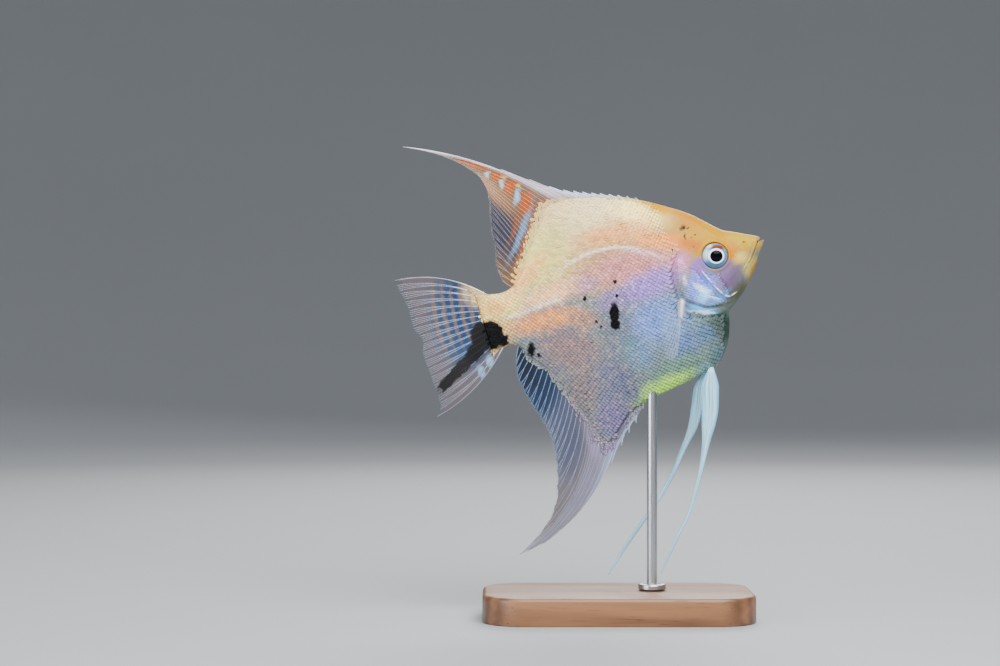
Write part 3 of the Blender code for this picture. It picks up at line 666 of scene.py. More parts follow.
hide_markings = paint_hide()
skin_finish, tree, shader = new_finish("wet pearly skin")
where = fish_coordinates(tree)
markings = used_group(tree, hide_markings)
colour = markings["Colour"]
line_mark = node(tree, "Attribute", attribute_name="side_line").outputs["Fac"]
colour = mixed(tree, line_mark, colour, paint(255, 240, 240))
grain = node(tree, "TexVoronoi", {"Vector": where, "Scale": 1.5, "Randomness": 0.8}).outputs["Distance"]
colour = mixed(tree, ranged(tree, grain, 0.0, 0.16, 0.1, 0.75), colour, paint(150, 110, 90), "MULTIPLY")
colour = mixed(tree, one_part(tree, markings["Ink"]), colour, paint(*ink))
fine = node(tree, "TexNoise", {"Vector": where, "Scale": 2.2, "Detail": 4.0}).outputs["Fac"]
feed(tree, shader, {"Base Color": colour, "Roughness": ranged(tree, fine, 0.36, 0.54, 0.3, 0.7)})
bumped(tree, shader, grain, 0.25, 0.00012)
shader.inputs["Coat Weight"].default_value = 0.10
shader.inputs["Coat Roughness"].default_value = 0.14
shader.inputs["Specular IOR Level"].default_value = 0.05

skin = make_skin(skin_finish)


def store(piece, name, values):
    """Stores a number for each point of a piece."""
    kept = piece.data.attributes.new(name, "FLOAT", "POINT")
    kept.data.foreach_set("value", values.astype(np.float32))


def side_line_marks(behind, height):
    """How strongly each point belongs to the pale canal along the side."""
    marks = np.zeros(len(behind))
    for line in (side_line_front, side_line_rear):
        away, share = from_line(line, behind, height)
        marks = np.maximum(marks, 0.52 * within(share, 0.2) * ridge(away, 0.50))
    away, share = from_line(arm_line, behind, height)
    return np.maximum(marks, 0.85 * within(share, 0.15) * ridge(away, 0.55))


def fish_frame(points):
    """Distance behind and height, in millimetres, of world points in metres."""
    x = points[:, 0] / mm - snout[0]
    z = points[:, 2] / mm - snout[1]
    return (-x * math.cos(nose_up) - z * math.sin(nose_up),
            -x * math.sin(nose_up) + z * math.cos(nose_up))


def corners_of(piece):
    """A piece's points as an array of rows."""
    flat = np.empty(len(piece.data.vertices) * 3, np.float32)
    piece.data.vertices.foreach_get("co", flat)
    return flat.reshape(-1, 3).astype(float)


store(skin, "side_line", side_line_marks(*fish_frame(corners_of(skin))))
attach(skin, "root")
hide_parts("head", "lower_jaw", "trunk", "tail_stem", "gill_cover_left", "gill_cover_right")

# ---- The scales: thin horny plates set like roof tiles ----
# Each is rooted in the skin at its front and lifts a little at its round rear edge, and
# its row overlaps the next by half a plate. They are small on the cheek and gill cover.
along_pitch = 1.25
row_pitch = 0.70
scale_length = 1.95
scale_width = 1.36
face_share = 0.58
scales_from, scales_to = 8.5, 81.6
row_length = 75.0
along_jitter, girth_jitter = 0.09, 0.06
bake_patch = 0.003
table_step = 0.5


def girth_table():
    """For close-set stations, the angle at each distance up (+) or down (-) from the widest level."""
    stations = np.arange(8.0, 83.0, table_step)
    up = np.linspace(math.pi / 2, 0.0, 200)
    down = np.linspace(math.pi / 2, math.pi, 200)
    reach = 46.0
    levels = np.linspace(-reach, reach, 369)
    angles, ups, downs = [], [], []
    for station in stations:
        runs = []
        for turn in (up, down):
            out, height = flank(station, turn, carved=False)
            runs.append(np.concatenate(([0.0], np.cumsum(np.hypot(np.diff(out), np.diff(height))))))
        run = np.concatenate((-runs[1][::-1], runs[0][1:]))
        turn = np.concatenate((down[::-1], up[1:]))
        angles.append(np.interp(levels, run, turn))
        ups.append(runs[0][-1])
        downs.append(runs[1][-1])
    return stations, levels, np.array(angles), np.array(ups), np.array(downs)


table_stations, table_levels, table_angles, girth_up, girth_down = girth_table()


def angle_at(behind, girth):
    """The section angle of points given by station and distance round the flank."""
    i = np.clip((behind - table_stations[0]) / table_step, 0, len(table_stations) - 1.001)
    j = np.clip((girth - table_levels[0]) / (table_levels[1] - table_levels[0]), 0, len(table_levels) - 1.001)
    i0, j0 = i.astype(int), j.astype(int)
    fi, fj = i - i0, j - j0
    near = table_angles[i0, j0] * (1 - fj) + table_angles[i0, j0 + 1] * fj
    far = table_angles[i0 + 1, j0] * (1 - fj) + table_angles[i0 + 1, j0 + 1] * fj
    return near * (1 - fi) + far * fi


def on_hide(behind, girth, side):
    """World point in millimetres on one flank, and the outward direction there."""
    def point(b, g):
        out, height = flank(b, angle_at(b, g))
        return place(b, out * side, height) / mm

    nudge = 0.22
    along = point(behind + nudge, girth) - point(behind - nudge, girth)
    across = point(behind, girth + nudge) - point(behind, girth - nudge)
    outward = np.cross(across, along) * -side
    outward /= np.maximum(np.linalg.norm(outward, axis=-1, keepdims=True), 1e-9)
    return point(behind, girth), outward


def tile_shape():
    """One scale: corners of (share along, share across, share of its lift), and its faces."""
    rows = [(0.0, 0.50), (0.34, 1.0), (0.62, 0.98), (0.82, 0.78), (0.95, 0.44)]
    across = (-1.0, -0.55, 0.0, 0.55, 1.0)
    corners = [(a, half * b, 1.0 - 0.55 * b * b) for a, half in rows for b in across]
    tip, under = len(corners), len(corners) + 1
    corners += [(1.0, 0.0, 0.45), (0.5, 0.0, -1.6)]
    faces = [(a, a + 5, a + 6, a + 1) for r in range(4) for a in range(r * 5, r * 5 + 4)]
    faces += [(20 + c, tip, 21 + c) for c in range(4)]
    rim = [0, 1, 2, 3, 4, 9, 14, 19, 24, tip, 20, 15, 10, 5]
    faces += [(first, second, under) for first, second in zip(rim, rim[1:] + rim[:1])]
    return np.array(corners), faces


def copies(faces, count, corners):
    """The faces of many like pieces, each with its own run of corners."""
    return [tuple(k * corners + c for c in face) for k in range(count) for face in faces]


def loop_corners(piece):
    """The point number at each corner of each face."""
    numbers = np.empty(len(piece.data.loops), np.int32)
    piece.data.loops.foreach_get("vertex_index", numbers)
    return numbers


def add_map(piece, name, places):
    """Adds a flat pattern map to a piece, one place for each corner of each face."""
    piece.data.uv_layers.new(name=name).data.foreach_set("uv", places.astype(np.float32).ravel())


def dress_scales(scales, corners, roots, tone, marks):
    """Gives each scale its pattern, its small patch of the unwrapped skin, its tone and its line mark."""
    numbers = loop_corners(scales)
    kind, which = numbers % len(corners), numbers // len(corners)
    plate = np.stack((corners[kind, 1] * 0.5 + 0.5, corners[kind, 0]), axis=-1)
    add_map(scales, "plate", plate)
    add_map(scales, "OFBake", roots[which] + (plate - 0.5) * bake_patch)
    store(scales, "tone", np.repeat(tone, len(corners)))
    store(scales, "side_line", np.repeat(marks, len(corners)))
    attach(scales, "root")


def scale_size(behind, height):
    """Full size on the flank, smaller on the nape, breast, fin bases and tail stem."""
    small_nape = 1.0 - 0.28 * (1.0 - step(behind, 22.0, 34.0)) * step(height, 0.0, 8.0)
    small_stem = 1.0 - 0.22 * step(behind, 66.0, 80.0)
    small_breast = 1.0 - 0.15 * step(-height, 18.0, 30.0)
    return small_nape * small_stem * small_breast


def is_scaled(behind, height):
    """True where full scales grow: behind the gill cover and the nape, and on the breast."""
    nape = smooth([(-40.0, 18.0), (-17.5, 18.0), (-16.0, 24.2), (-13.8, 26.6), (-9.0, 27.9), (-3.0, 27.2),
                   (1.5, 25.6), (4.0, 23.0), (8.0, 21.5), (14.0, 21.5), (30.0, 21.0)])
    breast = (height < -17.8) & (behind > smooth([(-33.0, 22.5), (-26.0, 18.4), (-18.0, 15.9)])(height))
    on_arm = np.hypot((behind - 28.0) / 0.9, (height + 13.2) / 3.6) < 1.0
    return ((behind > nape(height)) | breast) & ~on_arm


def is_face_scaled(behind, height):
    """True where the small scales grow: the gill cover and the cheek behind the eye."""
    cover, share = from_line(cover_edge, behind, height)
    on_cover = (cover < -0.35) & (share > 0.02) & (share < 0.98)
    past_eye = from_spot(eye_at, behind, height) > 5.3
    front = smooth([(-15.0, 13.0), (-8.0, 10.5), (-3.0, 18.0), (2.0, 19.5)])
    off_ridge = np.abs(from_line(cheek_ridge, behind, height)[0]) > 0.8
    return on_cover & past_eye & (behind > front(height)) & (height > -14.2) & (height < 1.6) & off_ridge


def sizes(corners, grown):
    """The length and width, in millimetres, of each scale's corners."""
    return ((corners[:, 0] * scale_length)[None, :] * grown[:, None],
            (corners[:, 1] * scale_width / 2)[None, :] * grown[:, None])


def lay_scales(name, side, finish, grows, size, girth_from, girth_to, seed, margin=0.46):
    """Lays one joined piece of overlapping scales over a part of one flank."""
    pitch, row = along_pitch * size, row_pitch * size
    chance = random.Random(seed)
    behinds, girths = [], []
    for r in range(int(math.floor(girth_from / row)), int(math.ceil(girth_to / row))):
        girth = (r + 0.5) * row
        if girth_from <= girth < girth_to:
            for i in range(int(row_length / pitch)):
                behinds.append(scales_from + (i + 0.5 * (r % 2)) * pitch
                               + chance.uniform(-along_jitter, along_jitter) * pitch)
                wave = math.sin(behinds[-1] / 8.0 + girth / 14.0)
                girths.append(girth + chance.uniform(-girth_jitter, girth_jitter) * pitch + 1.1 * row * wave)
    behinds, girths = np.array(behinds), np.array(girths)
    most = np.interp(behinds, table_stations, girth_up) - margin
    least = -np.interp(behinds, table_stations, girth_down) + margin
    height = flank(behinds, angle_at(behinds, girths), carved=False)[1]
    keep = (girths < most) & (girths > least) & (behinds < scales_to) & grows(behinds, height)
    behinds, girths, height = behinds[keep], girths[keep], height[keep]
    grown = scale_size(behinds, height) * size
    corners, faces = tile_shape()
    count = len(behinds)
    tilt = np.array([chance.uniform(0.88, 1.12) for _ in range(count)])
    roll = np.array([chance.uniform(-0.035, 0.035) for _ in range(count)])
    turn = np.array([chance.uniform(-0.05, 0.05) for _ in range(count)])
    tone = np.array([chance.random() for _ in range(count)])
    long, wide = sizes(corners, grown)
    point, outward = on_hide(behinds[:, None] + long + wide * turn[:, None],
                             girths[:, None] + wide - long * turn[:, None], side)
    calm = 1.0 - 0.8 * step(height, 0.0, 12.0)
    lift = (0.045 + 0.07 * corners[:, 0][None, :] * (tilt * calm)[:, None]) * np.minimum(grown, 1.0)[:, None]
    sunk = 0.052 * (1.0 - step(behinds, 22.5, 30.0)) * step(height, -4.0, 4.0)
    lift = lift + 0.05 * (corners[:, 2][None, :] - 1.0) + wide * roll[:, None] - sunk[:, None]
    points = (point + outward * lift[..., None]).reshape(-1, 3) * mm
    order = faces if side > 0 else [face[::-1] for face in faces]
    scales = piece_from(name, points, copies(order, count, len(corners)), finish)
    roots = np.stack(((behinds - 8.0) / 76.0, (girths + 48.0) / 96.0), axis=-1)
    dress_scales(scales, corners, roots, tone, side_line_marks(behinds + 0.5 * scale_length * grown, height))


scale_finish, tree, shader = new_finish("pearly scales")
where = fish_coordinates(tree)
spot = node(tree, "SeparateXYZ", {0: where})
plate = node(tree, "UVMap", uv_map="plate").outputs["UV"]
tone = node(tree, "Attribute", attribute_name="tone").outputs["Fac"]
markings = used_group(tree, hide_markings)
colour = markings["Colour"]
# the middle of each plate is lightened and whitened, a painted highlight of pearly sheen, and its rim and
# root are darkened with a violet-grey cast, painted shade where the plates overlap; both are strong low on
# the flank and faint on the back and the face
sheen_middle = oval(tree, plate, (0.5, 0.66), (0.60, 0.44), soft=0.85)
low_down = ranged(tree, spot.outputs["Y"], 0.04, 0.50, 13.0, -4.0, "SMOOTHSTEP")
off_face = ranged(tree, spot.outputs["X"], 0.55, 1.0, 22.0, 30.0)
contrast = sum_of(tree, "MULTIPLY", low_down, off_face)
flecked = sum_of(tree, "MULTIPLY", contrast, ranged(tree, spot.outputs["X"], 0.0, 1.0, 36.0, 50.0))
for first, last, tint in ((0.70, 0.98, (206, 132, 96)), (0.34, 0.02, (120, 118, 190))):
    fleck = sum_of(tree, "MULTIPLY", ranged(tree, tone, 0.0, 0.20, first, last), flecked)
    colour = mixed(tree, fleck, colour, paint(*tint))
# painted shade: each plate's rim and root darkened with a violet-grey cast
shaded_rim_colour = mixed(tree, contrast, colour, paint(150, 140, 176), "MULTIPLY")
# painted highlight: each plate's middle lightened and whitened
highlit_colour = scaled(tree, colour, ranged(tree, contrast, 1.03, 1.85))
highlit_colour = mixed(tree, 0.07, highlit_colour, paint(226, 232, 250))
colour = mixed(tree, sheen_middle, shaded_rim_colour, highlit_colour)
colour = scaled(tree, colour, ranged(tree, tone, 0.84, 1.16))
line_mark = node(tree, "Attribute", attribute_name="side_line").outputs["Fac"]
colour = mixed(tree, line_mark, colour, paint(255, 236, 238))
inked = one_part(tree, markings["Ink"])
feed(tree, shader, {"Base Color": mixed(tree, inked, colour, paint(*ink)),
                    "Metallic": ranged(tree, sheen_middle, 0.02, 0.18),
                    "Roughness": ranged(tree, tone, 0.26, 0.44),
                    "Coat Weight": sum_of(tree, "SUBTRACT", 0.14, inked, held=True)})
growth = node(tree, "TexWave", {"Vector": plate, "Scale": 3.2, "Distortion": 1.5}, wave_type="RINGS")
bumped(tree, shader, growth.outputs["Fac"], 0.25, 0.00004)
shader.inputs["Coat Roughness"].default_value = 0.16
shader.inputs["Specular IOR Level"].default_value = 0.18

for side, word in ((-1.0, "right"), (1.0, "left")):
    lay_scales("scales_upper_" + word, side, scale_finish, is_scaled, 1.0, 0.0, 46.0, 11)
    lay_scales("scales_lower_" + word, side, scale_finish, is_scaled, 1.0, -46.0, 0.0, 12)
    lay_scales("scales_face_" + word, side, scale_finish, is_face_scaled, face_share, -20.0, 30.0, 13)

# ---- The eyes: glass eyes set in the sockets ----
# Each is one flattened ball: a black pupil dome in a bright ring, a blue iris dished
# a little below the clear front, and the plain back that the socket hides.
eye_half_depth = 2.5
eye_centre_out = 3.3
pupil_at = (14.0, -1.1)
pupil_half = (1.92, 1.76)


def make_eye(name, side, finish):
    """A ball pressed flat, with its pupil, ring and iris raised and dished on the outer side."""
    bpy.ops.object.select_all(action="DESELECT")
    bpy.ops.mesh.primitive_uv_sphere_add(segments=96, ring_count=72, radius=1.0)
    eye = bpy.context.object
    eye.name = name
    ball = corners_of(eye)
    behind = eye_at[0] + eye_radius * ball[:, 0]
    height = eye_at[1] + eye_radius * ball[:, 1]
    share = np.hypot(ball[:, 0], ball[:, 1])
    from_pupil = np.hypot((behind - pupil_at[0]) / pupil_half[0], (height - pupil_at[1]) / pupil_half[1])
    dish = 0.16 * step(from_pupil, 1.25, 1.55) * (1.0 - step(share, 0.80, 0.95))
    ring = 0.05 * ridge(from_pupil - 1.12, 0.14)
    dome = 0.10 * (1.0 - step(from_pupil, 0.2, 1.0)) - 0.08 * ridge(from_pupil - 0.98, 0.06)
    front = np.where(ball[:, 2] > 0.0, 1.0, 0.0)
    depth = ball[:, 2] * eye_half_depth + front * (ring + dome - dish - 0.06)
    points = place(behind, side * (eye_centre_out + depth), height)
    eye.data.vertices.foreach_set("co", points.astype(np.float32).ravel())
    eye.data.update()
    face_outwards(eye)
    bpy.ops.object.shade_smooth()
    eye.data.materials.append(finish)
    return eye


eye_finish, tree, shader = new_finish("glass eye")
where = fish_coordinates(tree)
soft_where = wandering(tree, where, 1.6, 0.25)
around_eye = vector(tree, "NORMALIZE", vector(tree, "SUBTRACT", soft_where, (*eye_at, 0.0)))
fibres = node(tree, "TexNoise", {"Vector": around_eye, "Scale": 7.0, "Detail": 3.0}).outputs["Fac"]
colour = mixed(tree, fibres, paint(42, 88, 138), paint(98, 156, 200))
# two painted highlights, a near-white patch at the rear of the iris and a pale yellow one along its top, and
# the iris's darker blue low at the front
for centre, size, turn, soft, tint, strength in (
        ((16.9, 0.2), (1.9, 3.2), 20, 0.9, (206, 246, 252), 0.85),
        ((12.0, -3.4), (2.6, 1.6), -30, 0.9, (92, 138, 190), 0.8),
        ((15.6, 2.6), (2.4, 0.9), 25, 0.8, (246, 242, 206), 0.9)):
    colour = mixed(tree, oval(tree, soft_where, centre, size, turn, soft, strength), colour, paint(*tint))
crescent = oval(tree, soft_where, (13.0, 1.15), (2.4, 1.15), 17, 0.5)
colour = mixed(tree, crescent, colour, paint(118, 44, 18))
bright_ring = oval(tree, where, (14.02, -1.05), (2.5, 2.32), 17, 0.12)
colour = mixed(tree, bright_ring, colour, paint(250, 253, 255))
pupil = oval(tree, where, pupil_at, pupil_half, 17, 0.06)
colour = mixed(tree, pupil, colour, paint(6, 7, 14))
iris_edge = oval(tree, where, eye_at, (3.72, 3.72), 0, 0.05)
colour = mixed(tree, iris_edge, paint(150, 84, 40), colour)
feed(tree, shader, {"Base Color": colour, "Roughness": ranged(tree, bright_ring, 0.24, 0.12)})
bumped(tree, shader, fibres, 0.15, 0.00004)
shader.inputs["Coat Weight"].default_value = 0.05
shader.inputs["Coat Roughness"].default_value = 0.02
shader.inputs["Specular IOR Level"].default_value = 0.04

for side, word in ((-1.0, "right"), (1.0, "left")):
    eye = make_eye("glass_eye_" + word, side, eye_finish)
    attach(eye, "root")
    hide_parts("eye_" + word)

# ---- The back fin: hard spines, then soft rays that trail to a thread ----
# Bony rays stand in a web of skin. The web is thin enough to see through, the soft rays
# are jointed and branch twice towards their ends, and orange bars cross them.
root_sunk = 0.7
web_half = 0.045


def edge_point(outline, first, last, outward):
    """A share of the way along the back or belly, a little inside the skin, as two functions."""
    behind = np.linspace(first, last, 240)
    slope = (outline(behind + 0.05) - outline(behind - 0.05)) / 0.1
    length = np.hypot(1.0, slope)
    b = behind - outward * slope / length
    h = outline(behind) + outward / length
    run = np.concatenate(([0.0], np.cumsum(np.hypot(np.diff(b), np.diff(h)))))
    return lambda share: (np.interp(share * run[-1], run, b), np.interp(share * run[-1], run, h))


def columns_of(rows):
    """Turns rows of (share, value, value, ...) into one smooth function for each value."""
    return [smooth([(row[0], row[k]) for row in rows]) for k in range(1, len(rows[0]))]


def fan(root, tip, bow, sway):
    """A curved fan: gives (behind, out, height, run along the ray) for shares and places on rays."""
    def at(share, v):
        root_b, root_h = root(share)
        tip_b, tip_h = tip(share)
        length = np.hypot(tip_b - root_b, tip_h - root_h)
        lean = 4.0 * bow(share) * v * (1.0 - v)
        behind = root_b + (tip_b - root_b) * v - (tip_h - root_h) * lean
        height = root_h + (tip_h - root_h) * v + (tip_b - root_b) * lean
        return behind, sway(share, v * length), height, v * length

    return at


def spread_shares(groups):
    """Ray places: each group is (first share, last share, number of rays)."""
    return np.concatenate([np.linspace(first, last, count) for first, last, count in groups])


def give_fin_pattern(piece, shares, runs):
    """A pattern map on a fin: share of the base across, run along the ray in tenths of a metre."""
    numbers = loop_corners(piece)
    add_map(piece, "fin", np.stack((shares[numbers], runs[numbers] / 100.0), axis=-1))


def make_web(name, at, shares, reach, notch, finish, rows=56, steps=6, start=0.0):
    """The web between the rays: one thin closed sheet with a scalloped free edge."""
    columns, fractions = [], []
    for first, second in zip(shares, shares[1:]):
        for k in range(steps):
            columns.append(first + (second - first) * k / steps)
            fractions.append(k / steps)
    columns.append(shares[-1])
    fractions.append(0.0)
    columns, fractions = np.array(columns), np.array(fractions)
    ends = reach(columns) - notch(columns) * 4.0 * fractions * (1.0 - fractions)
    v = start + (ends[:, None] - start) * np.linspace(0.0, 1.0, rows + 1)[None, :]
    share = np.repeat(columns[:, None], rows + 1, axis=1)
    behind, out, height, run = at(share, v)
    half = web_half * (1.0 + 1.0 * np.exp(-run / 3.0))
    sheets = [place(behind, out + side * half, height).reshape(-1, 3) for side in (-1.0, 1.0)]
    points = np.concatenate(sheets)
    per = rows + 1
    far = len(columns) * per
    faces = []
    for a in range(0, far - per, per):
        b = a + per
        for k in range(rows):
            faces.append((a + k, b + k, b + k + 1, a + k + 1))
            faces.append((far + a + k, far + a + k + 1, far + b + k + 1, far + b + k))
        faces.append((a, far + a, far + b, b))
        faces.append((a + rows, b + rows, far + b + rows, far + a + rows))
    for a in range(rows):
        b = far - per + a
        faces.append((a, a + 1, far + a + 1, far + a))
        faces.append((b, far + b, far + b + 1, b + 1))
    web = piece_from(name, points, faces, finish)
    face_outwards(web)
    give_fin_pattern(web, np.tile(share.ravel(), 2), np.tile(run.ravel(), 2))
    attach(web, "root")
    return web


def tube_faces(rings, around):
    """The sides and the two flat ends of a rod whose points are numbered ring after ring."""
    ends = [tuple(range(around))[::-1], tuple((rings - 1) * around + j for j in range(around))]
    return ring_faces(rings, around) + ends


def make_rays(name, at, shares, reach, girth, forks, finish, seed, stations=22, sides=6):
    """The rays of a fin, each a tapered rod that forks at the given places along it."""
    chance = random.Random(seed)
    points, pattern_shares, pattern_runs = [], [], []
    gaps = np.gradient(shares)
    angles = round_angles(sides)
    for share, gap in zip(shares, gaps):
        end = float(reach(share)) * (1.0 - chance.uniform(0.0, 0.012))
        places = [fork for fork in forks(share) if fork < end]
        marks = [0.0] + places + [end]
        for level in range(len(marks) - 1):
            for branch in range(2 ** level):
                v = np.linspace(max(marks[level] - 0.01, 0.0), marks[level + 1], stations)
                offset = np.zeros_like(v)
                for deep in range(level):
                    way = 1.0 if (branch >> (level - 1 - deep)) & 1 else -1.0
                    past = np.clip((v - marks[deep + 1]) / (1.0 - marks[deep + 1]), 0.0, 1.0)
                    offset += way * 0.23 / (1.9 ** deep) * past ** 0.8
                behind, out, height, run = at(share + offset * gap, v)
                thick = girth(share, run) / (1.16 ** level)
                line = np.stack((behind, out, height), axis=-1)
                tangent = np.gradient(line, axis=0)
                tangent /= np.linalg.norm(tangent, axis=1, keepdims=True)
                across = np.cross(tangent, np.array((0.0, 1.0, 0.0)))
                across /= np.linalg.norm(across, axis=1, keepdims=True)
                outward = np.cross(across, tangent)
                joints = 1.0 + 0.10 * np.sin(run * 7.0) * (level > 0 or len(places) > 0)
                flat_way = across[:, None, :] * (thick * joints)[:, None, None] * np.cos(angles)[:, None]
                deep_way = outward[:, None, :] * (thick * 1.05)[:, None, None] * np.sin(angles)[:, None]
                points.append((line[:, None, :] + flat_way + deep_way).reshape(-1, 3))
                pattern_shares.append(np.full(stations * sides, share))
                pattern_runs.append(np.repeat(run, sides))
    faces = copies(tube_faces(stations, sides), len(points), stations * sides)
    points = np.concatenate(points)
    rays = piece_from(name, place(points[:, 0], points[:, 1], points[:, 2]), faces, finish)
    face_outwards(rays)
    give_fin_pattern(rays, np.concatenate(pattern_shares), np.concatenate(pattern_runs))
    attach(rays, "root")
    return rays


def paint_fin(name, ground, ovals, cover_ground, cover_ovals, ink_ovals=()):
    """The node group of one fin's colours, of how thickly its web covers what is behind, and its ink.

    Places are (share of the base in hundredths, millimetres along the ray); ink spots lie on the fish.
    """
    group, gathered = colour_group(name, ["Colour", "Cover", "Ink"])
    uv = node(group, "UVMap", uv_map="fin").outputs["UV"]
    where = vector(group, "MULTIPLY", uv, (100.0, 100.0, 0.0))
    where = wandering(group, wandering(group, where, 0.35, 1.6), 1.3, 1.5)
    colour = airbrushed(group, where, paint(*ground), ovals)
    cover = (cover_ground, cover_ground, cover_ground, 1.0)
    for across, along, wide, long, turn, soft, value, strength in cover_ovals:
        share = oval(group, where, (across, along), (wide, long), turn, soft, strength)
        cover = mixed(group, share, cover, (value, value, value, 1.0))
    inked = spotted(group, wandering(group, fish_coordinates(group), 0.85, 1.2), ink_ovals)
    feed(group, gathered, {"Colour": colour, "Cover": cover, "Ink": inked})
    return group


def web_finish(name, colours, darker=0.8):
    """Clear fin skin: the fin's colours, seen through by as much as the cover map says."""
    finish, tree, shader = new_finish(name)
    out = used_group(tree, colours)
    grained = stretched(tree, node(tree, "UVMap", uv_map="fin").outputs["UV"], (420.0, 26.0, 1.0))
    streaks = node(tree, "TexNoise", {"Vector": grained, "Scale": 1.0, "Detail": 3.0}).outputs["Fac"]
    colour = scaled(tree, out["Colour"], ranged(tree, streaks, darker - 0.16, darker + 0.16, 0.3, 0.7))
    inked = one_part(tree, out["Ink"])
    feed(tree, shader, {"Base Color": mixed(tree, inked, colour, paint(*ink)),
                        "Alpha": sum_of(tree, "MAXIMUM", one_part(tree, out["Cover"]), inked),
                        "Roughness": ranged(tree, streaks, 0.22, 0.42),
                        "Coat Weight": sum_of(tree, "SUBTRACT", 0.3, inked, held=True)})
    bumped(tree, shader, streaks, 0.3, 0.00006)
    shader.inputs["Coat Roughness"].default_value = 0.2
    return finish


def ray_finish(name, colours, pale, share_pale, clear=1.0):
    """Bony ray: the fin's colour mixed with a paler one, with fine cross joints."""
    finish, tree, shader = new_finish(name)
    out = used_group(tree, colours)
    uv = node(tree, "UVMap", uv_map="fin").outputs["UV"]
    joints = node(tree, "TexWave", {"Vector": uv, "Scale": 42.0, "Distortion": 0.6},
                  bands_direction="Y").outputs["Fac"]
    colour = mixed(tree, share_pale, out["Colour"], paint(*pale))
    colour = scaled(tree, colour, ranged(tree, joints, 0.88, 1.06))
    inked = one_part(tree, out["Ink"])
    feed(tree, shader, {"Base Color": mixed(tree, inked, colour, paint(*ink)), "Alpha": clear,
                        "Roughness": ranged(tree, joints, 0.26, 0.40),
                        "Coat Weight": sum_of(tree, "SUBTRACT", 0.3, inked, held=True)})
    bumped(tree, shader, joints, 0.2, 0.00005)
    shader.inputs["Coat Roughness"].default_value = 0.2
    return finish


def skin_surface(behind, height):
    """How far out the skin lies at a place seen from the side; 0 beyond its outline."""
    level = widest(behind)
    reach = np.where(height >= level, back(behind), belly(behind)) - level
    share = np.clip((height - level) / reach, 0.0, 1.0)
    angle = np.where(height >= level, np.arccos(share), math.pi - np.arccos(share))
    return flank(behind, angle, carved=False)[0] * (behind < tail_end)


def lay_fin_scales(name, fin, first, last, depth, size, seed, surface=0.17):
    """Small scales that run out from the body over the base of a fin, on both of its faces."""
    chance = random.Random(seed)
    root_b, _, root_h, _ = fin(np.array((first, last)), np.array((0.0, 0.0)))
    share_per_mm = (last - first) / math.hypot(root_b[1] - root_b[0], root_h[1] - root_h[0])
    across_pitch, run_pitch = 1.35 * size, 0.62 * size
    shares, runs = [], []
    for r in range(int(9.0 / run_pitch)):
        for k in range(int((last - first) / (share_per_mm * across_pitch))):
            share = first + (k + 0.5 * (r % 2) + 0.25) * share_per_mm * across_pitch
            run = 0.2 + r * run_pitch + chance.uniform(-0.1, 0.1)
            if run < float(depth(share)) * chance.uniform(0.2, 1.35):
                shares.append(share)
                runs.append(run)
    shares, runs = np.array(shares), np.array(runs)
    corners, faces = tile_shape()
    count = len(shares)
    grown = size * np.array([chance.uniform(0.85, 1.1) for _ in range(count)])
    tone = np.array([chance.random() for _ in range(count)])
    long, wide = sizes(corners, grown)
    share, run = shares[:, None] + wide * share_per_mm, runs[:, None] + long
    length = fin(share, np.ones(share.shape))[3]
    behind, out, height, _ = fin(share, run / length)
    lift = 0.09 * corners[:, 0] + 0.05 * (corners[:, 2] - 1.0)
    on_skin = skin_surface(behind, height)
    roots = np.stack((0.05 + 0.9 * shares, 0.05 + runs / 10.0), axis=-1)
    for side, word in ((-1.0, "right"), (1.0, "left")):
        stand = np.maximum(side * out + surface, on_skin) + lift[None, :]
        points = place(behind, side * stand, height).reshape(-1, 3)
        scales = piece_from(name + "_" + word, points, copies(faces, count, len(corners)), scale_finish)
        face_outwards(scales)
        dress_scales(scales, corners, roots, tone, np.zeros(count))


# (share of the base, distance behind the snout and height of the ray tip, bow upwards)
back_fin_rows = [(0.0, 31.0, 21.95, 0.0), (0.1, 37.5, 24.85, 0.0), (0.2, 44.0, 27.5, 0.0),
                 (0.3, 51.1, 30.6, 0.0), (0.36, 58.3, 35.6, 0.01), (0.40, 66.0, 41.3, 0.02),
                 (0.43, 91.5, 55.9, 0.06), (0.47, 86.0, 53.2, 0.06), (0.51, 78.5, 47.8, 0.05),
                 (0.55, 75.2, 44.6, 0.04), (0.62, 72.4, 40.8, 0.02), (0.715, 71.4, 36.6, 0.0),
                 (0.77, 71.8, 33.6, 0.0), (0.82, 72.5, 30.6, 0.0), (0.87, 73.6, 25.5, 0.0),
                 (0.92, 74.2, 20.0, 0.0), (0.96, 75.3, 14.8, 0.0), (1.0, 74.8, 9.8, 0.0)]
tip_b, tip_h, bow = columns_of(back_fin_rows)
back_fin_shares = spread_shares([(0.0, 0.40, 12), (0.43, 1.0, 24)])
back_fin = fan(edge_point(back, 29.8, 72.4, -root_sunk), lambda u, b=tip_b, h=tip_h: (b(u), h(u)), bow,
               lambda u, run: 0.55 * np.sin(run / 7.0) * np.minimum(run / 10.0, 1.0))
